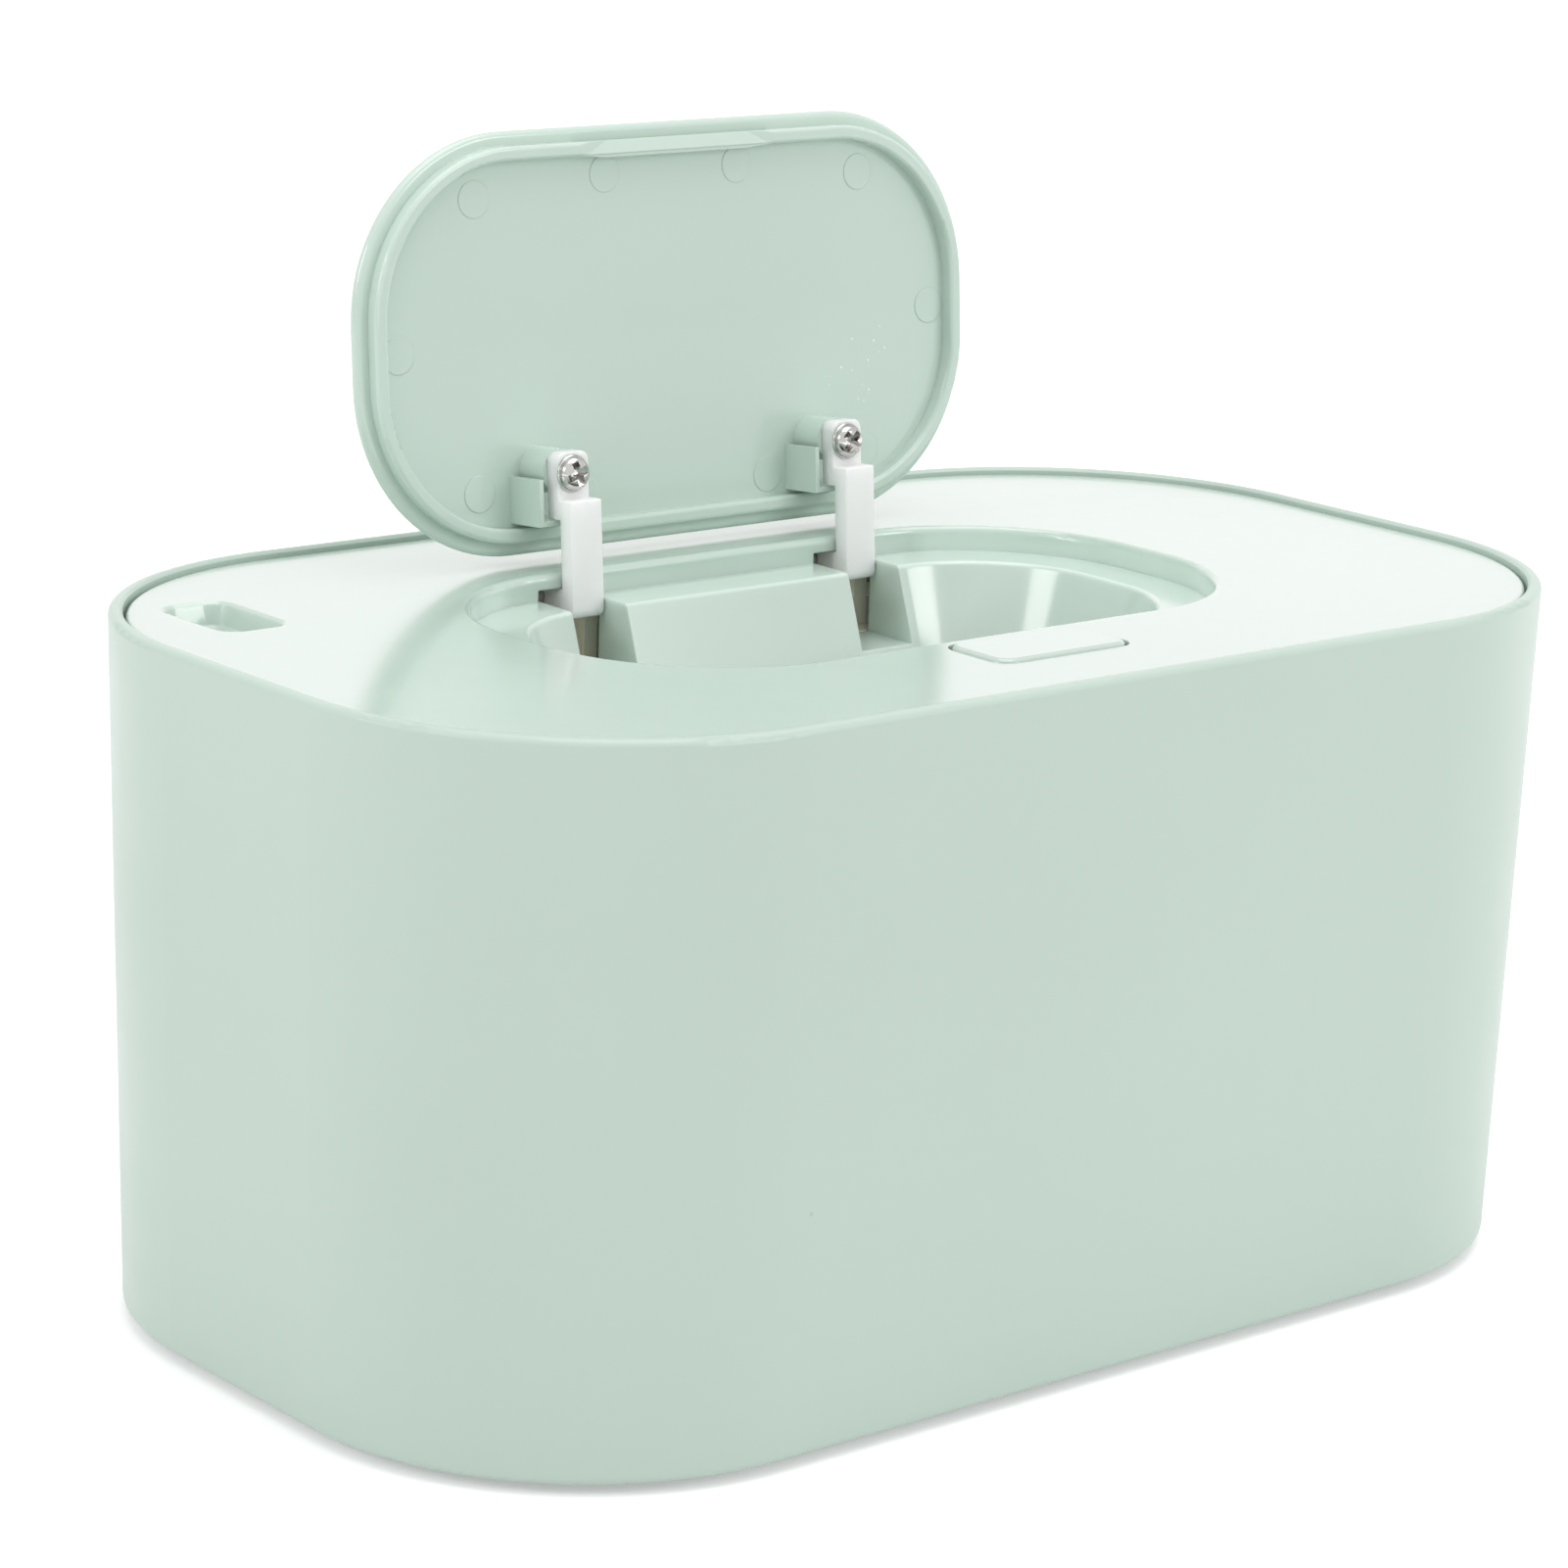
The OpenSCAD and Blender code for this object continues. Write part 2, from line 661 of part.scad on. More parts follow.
module heater_leads() {
    z_lo = z_board + board_t + lead_gap;
    z_hi = z_tub - film_t - lead_gap;
    y_hi = film_wid / 2 + film_tab - tab_in;
    y_lo = board_y - board_wid / 2 + lead_in;
    // from the heater film
    for (s = [-1, 1])
        color(s < 0 ? [0.75, 0.1, 0.1] : [0.12, 0.12, 0.12])
            wire(run([s * film_lead_x, y_hi, z_hi], [0, 0, -1],
                [s * film_lead_x, board_y - board_wid / 6, z_lo], [0, 0, 1], [pad_t, pad_t]),
                lead_r, [1, 0, 0]);
    // from the thermostat
    for (s = [-1, 1])
        color([0.85, 0.85, 0.83])
            wire(run([stat_x + s * term_x, term_t / 2 + lead_gap, z_hi - stat_h - 2], [0, 1, 0],
                [stat_lead_x + s * term_x * 0.6, y_lo, z_lo], [0, 0, 1], [y_lo / 2, pad_t]),
                lead_r, [1, 0, 0.3]);
}

// control board with its parts, each given by place, size and height
module control_board() {
    top = z_board + board_t;
    color([0.1, 0.36, 0.22]) {
        difference() {
            block(-board_len / 2, board_len / 2, board_y - board_wid / 2, board_y + board_wid / 2,
                z_board, top);
            for (p = board_holes) rod(p[0], p[1], z_board - 1, top + 1, small_shank_r + 0.2);
        }
        for (c = chips) translate([c[0] * board_len, board_y + c[1] * board_wid, top - eps])
            translate([-c[2] / 2, -c[3] / 2, 0]) cube([c[2], c[3], c[4]]);
        for (c = cans) rod(c[0] * board_len, board_y + c[1] * board_wid, top - eps, top + c[3], c[2]);
    }
}

module board_screws() {
    color(steel) for (p = board_holes) translate([p[0], p[1], z_board + board_t])
        pan_screw(small_head_r, small_head_h, small_shank_r, board_t + board_lift - 0.3);
}

// low voltage power socket at the middle of the rear wall
module power_socket() {
    jack_l = 7.4;
    tongue_w = jack_w - 2.3;
    tongue_t = 0.7;
    color(steel) translate([0, board_y + board_wid / 2 + 0.3, z_jack]) rotate([90, 0, 0]) {
        difference() {
            linear_extrude(jack_l) plan(jack_w / 2 - jack_h / 2 + 0.1, 0.1, jack_h / 2 - 0.1);
            translate([0, 0, -1]) linear_extrude(jack_l)
                plan(jack_w / 2 - jack_h / 2 + 0.1, 0.1, jack_h / 2 - 0.45);
        }
        translate([-tongue_w / 2, -tongue_t / 2, 0.8]) cube([tongue_w, tongue_t, jack_l - 1.2]);
    }
}

// cover

// side profile of recess and throat, round the mouth
module mouth_profile() {
    lean = atan(throat_taper / throat_depth);
    round_x = ledge_in + ledge_round * (1 - sin(lean)) / cos(lean);
    polygon([[mouth_r + mouth_round, z_top], [mouth_r + mould_t, z_top],
        [mouth_r + mould_t, z_ledge - mould_t], [ledge_in + mould_t, z_ledge - mould_t],
        [throat_in(z_throat) + mould_t, z_throat], [throat_in(z_throat), z_throat],
        [round_x - ledge_round * cos(lean), z_ledge - ledge_round + ledge_round * sin(lean)],
        [round_x, z_ledge], [mouth_r, z_ledge], [mouth_r, z_top - mouth_round]]);
    translate([mouth_r + mouth_round, z_top - mouth_round]) circle(mouth_round);
    translate([round_x, z_ledge - ledge_round]) circle(ledge_round);
    translate([throat_in(z_throat) + mould_t / 2, z_throat]) circle(mould_t / 2);
}

module cover_edge() {
    inner = cover_r - cover_round - skirt_t - 0.6;
    polygon([[inner, z_under], [inner, z_top], [cover_r - cover_round, z_top],
        [cover_r, z_top - cover_round], [cover_r, z_under], [skirt_out, z_under],
        [skirt_out, z_skirt], [skirt_out - skirt_t, z_skirt], [skirt_out - skirt_t, z_under]]);
    translate([cover_r - cover_round, z_top - cover_round]) circle(cover_round);
}

module notch_profile() {
    polygon([[notch_r + notch_t, z_top], [notch_r + 0.5, z_top], [notch_r, z_top - 0.4],
        [notch_r - notch_slope + 0.2, z_top - notch_depth + 0.5],
        [notch_r - notch_slope - 0.3, z_top - notch_depth],
        [0.2, z_top - notch_depth], [0.2, z_top - notch_depth - notch_t],
        [notch_r - notch_slope, z_top - notch_depth - notch_t],
        [notch_r - notch_slope + notch_t, z_top - notch_depth]]);
}

// side profile of the block that holds one hinge slot, behind the throat's wall
module slot_profile() {
    y_in = mouth_y + my + mould_t / 2;
    polygon([[y_in + throat_in(z_floor - slot_t), z_floor - slot_t],
        [y_in + throat_in(z_ledge - 1), z_ledge - 1],
        [mouth_back - slot_t, z_ledge - 1], [mouth_back - slot_t, z_floor - slot_t]]);
}

module top_cover() {
    color(mint) difference() {
        union() {
            difference() {
                slab(hx, hy, cover_r - skirt_t - 0.2, z_under, z_top);
                translate([0, mouth_y, 0]) slab(mx, my, mouth_r + mould_t - 0.5, z_under - 1, z_top + 1);
                translate([-notch_x, notch_y, 0])
                    slab(notch_len / 2 - notch_r, notch_wid / 2 - notch_r, notch_r + notch_t - 0.5,
                        z_under - 1, z_top + 1);
            }
            swept(hx, hy) cover_edge();
            translate([0, mouth_y, 0]) swept(mx, my) mouth_profile();
            translate([-notch_x, notch_y, 0]) {
                swept(notch_len / 2 - notch_r, notch_wid / 2 - notch_r) notch_profile();
                slab(notch_len / 2 - notch_r, notch_wid / 2 - notch_r, 0.5,
                    z_top - notch_depth - notch_t, z_top - notch_depth);
            }
            for (x = slots) across(x - slot_t, x + slot_w + slot_t) slot_profile();
            for (x = bracket_holes) rod(x, bracket_hole_y, tab_z, z_under + 1, boss_wall);
            for (s = [-1, 1]) rod(s * tray_hole_x, tray_hole_y, z_tray_ear, z_under + 1, boss_wall);
        }
        // hinge slots with their windows through the back of the recess
        for (x = slots) block(x, x + slot_w, mouth_y, mouth_back + mould_t + 0.5, z_floor, z_under);
        // channel for the hinge eyes in the cover's underside
        translate([ears[0] - relief, pivot_y, pivot_z]) rotate([0, 90, 0])
            cylinder(r = hub_r + relief, h = bracket_x[1] - bracket_x[0] + 2 * relief);
        // opening for the button
        translate([0, key_y, 0]) slab(kx, ky, key_r, z_under - 1, z_top + 1);
        // ways for the latch prongs
        for (s = [-1, 1]) {
            x = s < 0 ? -slider_x - 0.3 : prong_x - 0.3;
            block(x, x + prong_w + 0.6, slider_back - 2.6 - travel - 0.6, mouth_front + 1,
                z_tip - 0.25, z_tip + tip_t + 0.25);
        }
        for (x = bracket_holes) rod(x, bracket_hole_y, tab_z - 1, z_under + 0.2, small_shank_r + screw_gap);
        for (s = [-1, 1])
            rod(s * tray_hole_x, tray_hole_y, z_tray_ear - 1, z_under + 0.2, small_shank_r + screw_gap);
    }
}

module cover_seal() {
    x0 = skirt_out - skirt_t;
    z_lip = z_flange + 0.1;
    color([0.93, 0.93, 0.91]) swept(hx, hy)
        polygon([[x0 - 0.9, z_skirt + 2], [x0 - 0.05, z_skirt + 2], [x0 - 0.05, z_skirt],
            [skirt_out - 0.1, z_skirt], [skirt_out - 0.1, z_skirt - 1.2],
            [skirt_out - 0.9, z_lip], [skirt_out - 1.6, z_lip],
            [x0 + 0.1, z_skirt - 1.3], [x0 - 0.9, z_skirt - 1.3]]);
}

// hinge

module hinge_bracket() {
    z_low = z_floor - bracket_t;
    color(cream) difference() {
        union() {
            block(bracket_x[0], bracket_x[1], mouth_back - slot_t + relief, bracket_y, z_low, z_floor);
            block(bracket_x[0], bracket_x[1], bracket_y - bracket_t, bracket_y, z_low, z_under - relief);
            for (x = ears) across(x, x + ear_t) {
                polygon([[pivot_y - hub_r, z_low], [bracket_y - 1, z_low], [bracket_y - 1, pivot_z - 1],
                    [pivot_y + hub_r, pivot_z], [pivot_y - hub_r, pivot_z]]);
                translate([pivot_y, pivot_z]) circle(hub_r);
            }
            for (x = bracket_holes)
                block(x - tab_w / 2 - 0.5, x + tab_w / 2 + 0.5, bracket_hole_y - tab_w / 2, bracket_y,
                    tab_z - bracket_t, tab_z);
        }
        translate([bracket_x[0] - 1, pivot_y, pivot_z]) rotate([0, 90, 0])
            cylinder(r = pin_r + run_gap, h = bracket_x[1] - bracket_x[0] + 2);
        for (x = bracket_holes)
            rod(x, bracket_hole_y, tab_z - bracket_t - 1, tab_z + 1, small_shank_r + 0.2);
        // hole for the spring's leg
        translate([leg_x, bracket_y + 1, leg_z]) rotate([90, 0, 0])
            cylinder(r = coil_wire + 0.1, h = bracket_t + 2);
    }
}

module bracket_screws() {
    color(steel) for (x = bracket_holes) translate([x, bracket_hole_y,
        tab_z - bracket_t]) rotate([180, 0, 0])
        pan_screw(small_head_r, small_head_h, small_shank_r, bracket_t + z_under - tab_z - 0.3);
}

module hinge_pin() {
    color(steel) opened() difference() {
        translate([bracket_x[0] + 0.2, pivot_y, pivot_z]) rotate([0, 90, 0])
            cylinder(r = pin_r, h = bracket_x[1] - bracket_x[0] - 0.4);
        // cross hole for the spring's end
        translate([coil_x(0), pivot_y, pivot_z])
            cylinder(r = coil_wire + 0.08, h = 3 * pin_r, center = true);
    }
}

// torsion spring: one end in the pin's cross hole, the other through the bracket's rear wall
module hinge_spring() {
    a0 = 90 - open_angle;
    sweep = 360 * coil_turns - 90 - a0;
    steps = 16 * coil_turns;
    inner = [for (d = [0:0.25:0.75])
        [coil_x(0), pivot_y + d * coil_r * cos(a0), pivot_z + d * coil_r * sin(a0)]];
    coil = [for (i = [0:steps]) let (a = a0 + sweep * i / steps)
        [coil_x((a - a0) / 360), pivot_y + coil_r * cos(a), pivot_z + coil_r * sin(a)]];
    leg = [for (y = [pivot_y + coil_r, bracket_y - bracket_t, bracket_y - 0.2]) [leg_x, y, leg_z]];
    color(steel) wire(concat(inner, coil, leg), coil_wire, [1, 0.02, 0.01]);
}

// side view of an arm with the lid shut
module arm_side() {
    leg_back = pivot_y + leg_t - 1.5;
    leg_front = pivot_y - 1.5;
    z_low = z_bar - bar_t;
    difference() {
        union() {
            polygon([[screw_y, z_bar], [arm_end - 2.9, z_bar], [arm_end - 2.2, z_low + 0.4],
                [arm_end - 1.8, z_low], [leg_back - arm_round, z_low],
                [leg_back, z_low + arm_round], [leg_back, pivot_z],
                [leg_front, pivot_z], [leg_front, z_bar - bar_gap], [arm_end, z_bar - bar_gap],
                [arm_end, z_arm], [screw_y, z_arm]]);
            intersection() {
                translate([leg_back - arm_round, z_low + arm_round]) circle(arm_round);
                translate([leg_back - arm_round, z_low]) square(arm_round);
            }
            translate([pivot_y, pivot_z]) circle(hub_r);
        }
        translate([pivot_y, pivot_z]) circle(pin_r + press_gap);
    }
}

module hinge_arm(x) {
    color(nylon) opened() difference() {
        union() {
            across(x - arm_w / 2, x + arm_w / 2) arm_side();
            rod(x, screw_y, z_bar, z_arm, arm_w / 2);
        }
        rod(x, screw_y, z_bar - 1, z_arm + 1, arm_shank_r + 0.1);
    }
}

module hinge_arm_left() {
    hinge_arm(-arm_x);
}

module hinge_arm_right() {
    hinge_arm(arm_x);
}

module arm_screws() {
    color(steel) opened() for (s = [-1, 1]) translate([s * arm_x, screw_y, z_bar]) rotate([180, 0, 0])
        pan_screw(arm_head_r, arm_head_h, arm_shank_r, arm_t + boss_h - 0.6);
}

// lid

module lid_edge() {
    rib_out = lid_r - rib_inset;
    translate([lid_r - lid_t / 2, z_panel + lid_t / 2]) circle(lid_t / 2);
    polygon([[rib_out - rib_w - 1, z_panel], [lid_r - lid_t / 2, z_panel], [lid_r - lid_t / 2, z_lid],
        [rib_out - rib_w - 1, z_lid]]);
    polygon([[rib_out - rib_w, z_panel + eps], [rib_out - rib_w, z_crest + rib_round],
        [rib_out - rib_w + rib_round, z_crest], [rib_out - rib_round, z_crest],
        [rib_out, z_crest + rib_round], [rib_out, z_panel + eps]]);
    for (x = [rib_out - rib_w + rib_round, rib_out - rib_round])
        translate([x, z_crest + rib_round]) circle(rib_round);
}

// slants the rib's crest so that the closing lid pushes the latch back; it fades out at both ends
module catch_ramp() {
    hull() {
        across(-catch_w / 2, catch_w / 2)
            polygon([[catch_y - eps, z_crest - ramp_h], [catch_back + eps, z_crest - ramp_h],
                [catch_back + eps, z_crest - eps], [catch_y - eps, z_crest - eps]]);
        across(-catch_w / 2 + catch_fade, catch_w / 2 - catch_fade)
            polygon([[catch_y - eps, z_crest - eps], [catch_back + eps, z_crest - eps],
                [catch_y - eps, z_crest + ramp_h]]);
    }
}

module flip_lid() {
    color(mint) opened() difference() {
        union() {
            translate([0, mouth_y, 0]) {
                slab(lx, ly, lid_r - rib_inset - rib_w - 0.5, z_panel, z_lid);
                swept(lx, ly) lid_edge();
            }
            // thicker stretch of the rib for the latch
            translate([0, 0, z_crest + rib_round / 2]) linear_extrude(rib_h - rib_round / 2 + eps)
                polygon([[-catch_w / 2, catch_y + rib_w / 2], [catch_w / 2, catch_y + rib_w / 2],
                    [catch_w / 2, catch_y + rib_w], [catch_w / 2 - catch_fade, catch_back],
                    [catch_fade - catch_w / 2, catch_back], [-catch_w / 2, catch_y + rib_w]]);
            for (m = marks, s = [-1, 1])
                rod(s * m[0] * mouth_len / 2, mouth_y + m[1] * mouth_wid / 2, z_panel - mark_h,
                    z_panel + eps, mark_r);
            for (s = [-1, 1]) {
                x = s * arm_x - arm_w / 2 - 2.4;
                rod(s * arm_x, screw_y, z_arm, z_panel + eps, boss_r);
                block(x, x + guide_t, arm_end - guide_l, arm_end + guide_gap + guide_t,
                    z_panel - guide_h, z_panel + eps);
                block(x, s * arm_x + arm_w / 2 + 0.3, arm_end + guide_gap, arm_end + guide_gap + guide_t,
                    z_panel - guide_h, z_panel + eps);
            }
        }
        catch_ramp();
        // groove that the latch reaches into
        block(-catch_w / 2, catch_w / 2, catch_y - eps, catch_y + bite + slide_gap,
            z_crest + catch_t, z_panel);
        for (s = [-1, 1]) rod(s * arm_x, screw_y, z_arm - 1, z_panel - 0.3, arm_shank_r + screw_gap);
    }
}

// button and latch

module release_button() {
    color(mint) {
        translate([0, key_y, 0]) {
            slab(bx, by, key_r_in - key_t / 2, z_cap, z_key);
            swept(bx, by) {
                polygon([[key_r_in - key_t, z_skirt_key], [key_r_in, z_skirt_key],
                    [key_r_in, z_key - key_round], [key_r_in - key_round, z_key],
                    [key_r_in - key_t, z_key]]);
                translate([key_r_in - key_round, z_key - key_round]) circle(key_round);
            }
        }
        // stops that keep it from coming out upwards
        for (s = [-1, 1]) translate([s * (key_len / 2), key_y - 2.6, z_skirt_key + 0.5])
            cube([3, 6.4, 1], center = true);
        // slanted legs that drive the latch both ways
        for (s = [-1, 1]) across(s * (cam_x + cam_w / 2) - cam_w / 2, s * (cam_x + cam_w / 2) + cam_w / 2)
            polygon([[cam_y, z_cap + 0.4], [cam_y, z_cap], [cam_y + z_cap - cam_tip, cam_tip],
                [cam_y + z_cap - cam_tip + cam_t, cam_tip], [cam_y + cam_t, z_cap],
                [cam_y + cam_t, z_cap + 0.4]]);
    }
}

module latch_slider() {
    y_cam = cam_y + z_cap - z_slider;
    color([0.92, 0.92, 0.9]) difference() {
        union() {
            block(-slider_x, slider_x, slider_front, slider_back, z_slider, z_slider + slider_t);
            for (s = [-1, 1]) {
                x = s < 0 ? -slider_x : prong_x;
                block(x, x + prong_w, slider_back - 2.6, slider_back, z_slider, z_tip + tip_t);
                across(x, x + prong_w)
                    polygon([[slider_back - 1, z_tip], [catch_y + bite, z_tip],
                        [catch_y + bite, z_tip + tip_t - tip_round],
                        [catch_y + bite - tip_round, z_tip + tip_t],
                        [slider_back - 1, z_tip + tip_t]]);
            }
        }
        // slanted windows for the button's legs
        for (s = [-1, 1])
            across(s * (cam_x + cam_w / 2) - cam_w / 2 - 0.3, s * (cam_x + cam_w / 2) + cam_w / 2 + 0.3)
                polygon([[y_cam + 1 - slide_gap, z_slider - 1],
                    [y_cam + 1 + cam_t + slide_gap, z_slider - 1],
                    [y_cam - slider_t - 1 + cam_t + slide_gap, z_slider + slider_t + 1],
                    [y_cam - slider_t - 1 - slide_gap, z_slider + slider_t + 1]]);
        // window for the spring
        block(-button_coil_r - 1, button_coil_r + 1, coil_y - button_coil_r - 0.8,
            coil_y + button_coil_r + 0.8 + travel, z_slider - 1, z_slider + slider_t + 1);
    }
}

module latch_tray() {
    low = z_tray - tray_t;
    color([0.3, 0.31, 0.32]) difference() {
        union() {
            block(-tray_x - tray_wall, tray_x + tray_wall, tray_front, slider_back, low, z_tray);
            block(-tray_x - tray_wall, tray_x + tray_wall, tray_front - tray_wall, tray_front,
                low, z_slider + slider_t);
            for (s = [-1, 1]) {
                x = s < 0 ? -tray_x - tray_wall : tray_x;
                block(x, x + tray_wall, tray_front, slider_back, low, z_slider + slider_t);
                rail = s < 0 ? -slider_x : cam_x + cam_w + 2;
                block(rail, rail + slider_x - cam_x - cam_w - 2, tray_front, slider_back, low, z_rail);
                ear = s < 0 ? -tray_x - tray_wall - tray_ear : tray_x;
                block(ear, ear + tray_ear + tray_wall, tray_hole_y - 4, tray_hole_y + 4,
                    z_tray_ear - tray_ear_t, z_tray_ear);
            }
            // seat that centres the spring
            rod(0, coil_y, low, z_tray + 1.2, button_coil_r - button_wire - 0.4);
        }
        for (s = [-1, 1]) rod(s * tray_hole_x, tray_hole_y, low, z_tray_ear + 1, small_shank_r + 0.2);
    }
}

module tray_screws() {
    for (s = [-1, 1])
        color(steel) translate([s * tray_hole_x, tray_hole_y, z_tray_ear - tray_ear_t]) rotate([180, 0, 0])
            pan_screw(small_head_r, small_head_h, small_shank_r, tray_ear_t + z_under - z_tray_ear - 0.3);
}

module button_spring() {
    turns = 5;
    steps = 16;
    low = z_tray + button_wire;
    high = z_cap - button_wire;
    color(steel) wire([for (i = [0:turns * steps]) let (a = 360 * i / steps)
        [button_coil_r * cos(a), coil_y + button_coil_r * sin(a), low + (high - low) * i / turns / steps]],
        button_wire, [0, 0, 1]);
}

outer_shell();
base_plate();
rubber_feet();
base_screws();
inner_tub();
heater_film();
insulation_pad();
thermostat();
heater_leads();
control_board();
board_screws();
power_socket();
top_cover();
cover_seal();
hinge_bracket();
bracket_screws();
hinge_spring();
latch_tray();
tray_screws();
button_spring();
flip_lid();
hinge_arm_left();
hinge_arm_right();
hinge_pin();
arm_screws();
release_button();
latch_slider();
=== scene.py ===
import math
import bpy
import bmesh
from mathutils import Matrix, Vector


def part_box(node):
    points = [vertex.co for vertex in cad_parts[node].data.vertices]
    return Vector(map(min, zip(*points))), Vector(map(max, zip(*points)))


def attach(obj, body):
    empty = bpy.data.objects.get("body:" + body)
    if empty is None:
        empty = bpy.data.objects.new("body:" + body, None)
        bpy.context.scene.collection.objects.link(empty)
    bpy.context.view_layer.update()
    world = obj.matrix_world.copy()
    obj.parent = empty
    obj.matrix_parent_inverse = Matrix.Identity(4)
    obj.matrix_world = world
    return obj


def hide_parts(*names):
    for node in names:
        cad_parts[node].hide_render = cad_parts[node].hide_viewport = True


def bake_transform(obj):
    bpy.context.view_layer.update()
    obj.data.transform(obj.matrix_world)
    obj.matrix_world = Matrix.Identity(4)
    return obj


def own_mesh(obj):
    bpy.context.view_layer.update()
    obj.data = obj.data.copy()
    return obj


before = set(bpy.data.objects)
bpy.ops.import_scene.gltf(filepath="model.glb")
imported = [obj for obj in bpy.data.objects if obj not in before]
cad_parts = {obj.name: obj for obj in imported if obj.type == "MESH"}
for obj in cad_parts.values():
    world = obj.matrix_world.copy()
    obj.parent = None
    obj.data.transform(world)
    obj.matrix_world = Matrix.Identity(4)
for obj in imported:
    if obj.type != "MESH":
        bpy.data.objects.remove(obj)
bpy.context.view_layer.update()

# Camera
# The product was photographed with a long lens from the front left, a little above the rim.
# These are the lens and the place that put the model's edges on the photographed ones.
photo_camera = bpy.data.objects.new("photo_camera", bpy.data.cameras.new("photo_camera"))
bpy.context.scene.collection.objects.link(photo_camera)
photo_camera.data.lens, photo_camera.data.sensor_width = 111.52, 36.0
photo_camera.data.clip_start, photo_camera.data.clip_end = 0.01, 20.0
camera_place = (-0.443238, -0.514877, 0.247417)
turn, tilt, roll = math.radians(40.015), math.radians(-14.496), math.radians(1.991)
ahead = Vector((math.sin(turn) * math.cos(tilt), math.cos(turn) * math.cos(tilt), math.sin(tilt)))
right = ahead.cross(Vector((0, 0, 1))).normalized()
up = right.cross(ahead)
right, up = math.cos(roll) * right + math.sin(roll) * up, -math.sin(roll) * right + math.cos(roll) * up
photo_camera.matrix_world = Matrix.Translation(camera_place) @ Matrix((right, up, -ahead)).transposed().to_4x4()
bpy.context.scene.camera = photo_camera


# Housing
# One satin ABS moulding in mint green, drafted towards the base, with a rounded rim.
# The mould leaves a faint orange peel, and a few dark specks lie in the plastic.
mm = 0.001


def new_finish(name):
    """A new material, with its nodes and links."""
    material = bpy.data.materials.new(name)
    material.use_nodes = True
    return material, material.node_tree.nodes, material.node_tree.links


def noise(nodes, links, coords, scale, detail=2.0, rough=0.5):
    """Smooth random patches, about 1 / scale metres across, with values round 0.5."""
    cloud = nodes.new("ShaderNodeTexNoise")
    cloud.inputs["Scale"].default_value = scale
    cloud.inputs["Detail"].default_value = detail
    cloud.inputs["Roughness"].default_value = rough
    links.new(coords, cloud.inputs["Vector"])
    return cloud.outputs["Fac"]


def spread(nodes, links, value, low, high, start=0.3, end=0.7):
    """Maps a value from start..end to low..high."""
    ruler = nodes.new("ShaderNodeMapRange")
    ruler.inputs["From Min"].default_value, ruler.inputs["From Max"].default_value = start, end
    ruler.inputs["To Min"].default_value, ruler.inputs["To Max"].default_value = low, high
    links.new(value, ruler.inputs["Value"])
    return ruler.outputs["Result"]


def combined(nodes, links, operation, first, second):
    """The sum, product or the like of two values; each is a number or a socket."""
    math_node = nodes.new("ShaderNodeMath")
    math_node.operation = operation
    for socket, value in zip(math_node.inputs, (first, second)):
        if isinstance(value, (int, float)):
            socket.default_value = value
        else:
            links.new(value, socket)
    return math_node.outputs["Value"]


def two_tones(nodes, links, factor, first, second):
    """first where the factor is 0, second where it is 1; each is a colour or a socket."""
    blend = nodes.new("ShaderNodeMix")
    blend.data_type = "RGBA"
    for side, tone in (("A", first), ("B", second)):
        if isinstance(tone, bpy.types.NodeSocket):
            links.new(tone, blend.inputs[side])
        else:
            blend.inputs[side].default_value = (*tone, 1)
    links.new(factor, blend.inputs["Factor"])
    return blend.outputs["Result"]


def scattered_dots(nodes, links, coords, scale, size, share):
    """Small round dots in a share of the cells of a cell pattern. size is a dot's radius, 1 being a cell."""
    cells = nodes.new("ShaderNodeTexVoronoi")
    cells.inputs["Scale"].default_value = scale
    links.new(coords, cells.inputs["Vector"])
    pick = nodes.new("ShaderNodeSeparateColor")
    links.new(cells.outputs["Color"], pick.inputs["Color"])
    dot = spread(nodes, links, cells.outputs["Distance"], 1.0, 0.0, size * 0.6, size)
    chosen = spread(nodes, links, pick.outputs["Red"], 0.0, 1.0, 1.0 - share, 1.0 - share * 0.8)
    return combined(nodes, links, "MULTIPLY", dot, chosen)


def relief(nodes, links, shader, height, depth, soft_edge=0.0):
    """Bump of that depth, on edges that are rounded by soft_edge in the shading."""
    bump = nodes.new("ShaderNodeBump")
    bump.inputs["Distance"].default_value = depth
    links.new(height, bump.inputs["Height"])
    if soft_edge:
        edge = nodes.new("ShaderNodeBevel")
        edge.samples = 6
        edge.inputs["Radius"].default_value = soft_edge
        links.new(edge.outputs["Normal"], bump.inputs["Normal"])
    links.new(bump.outputs["Normal"], shader.inputs["Normal"])


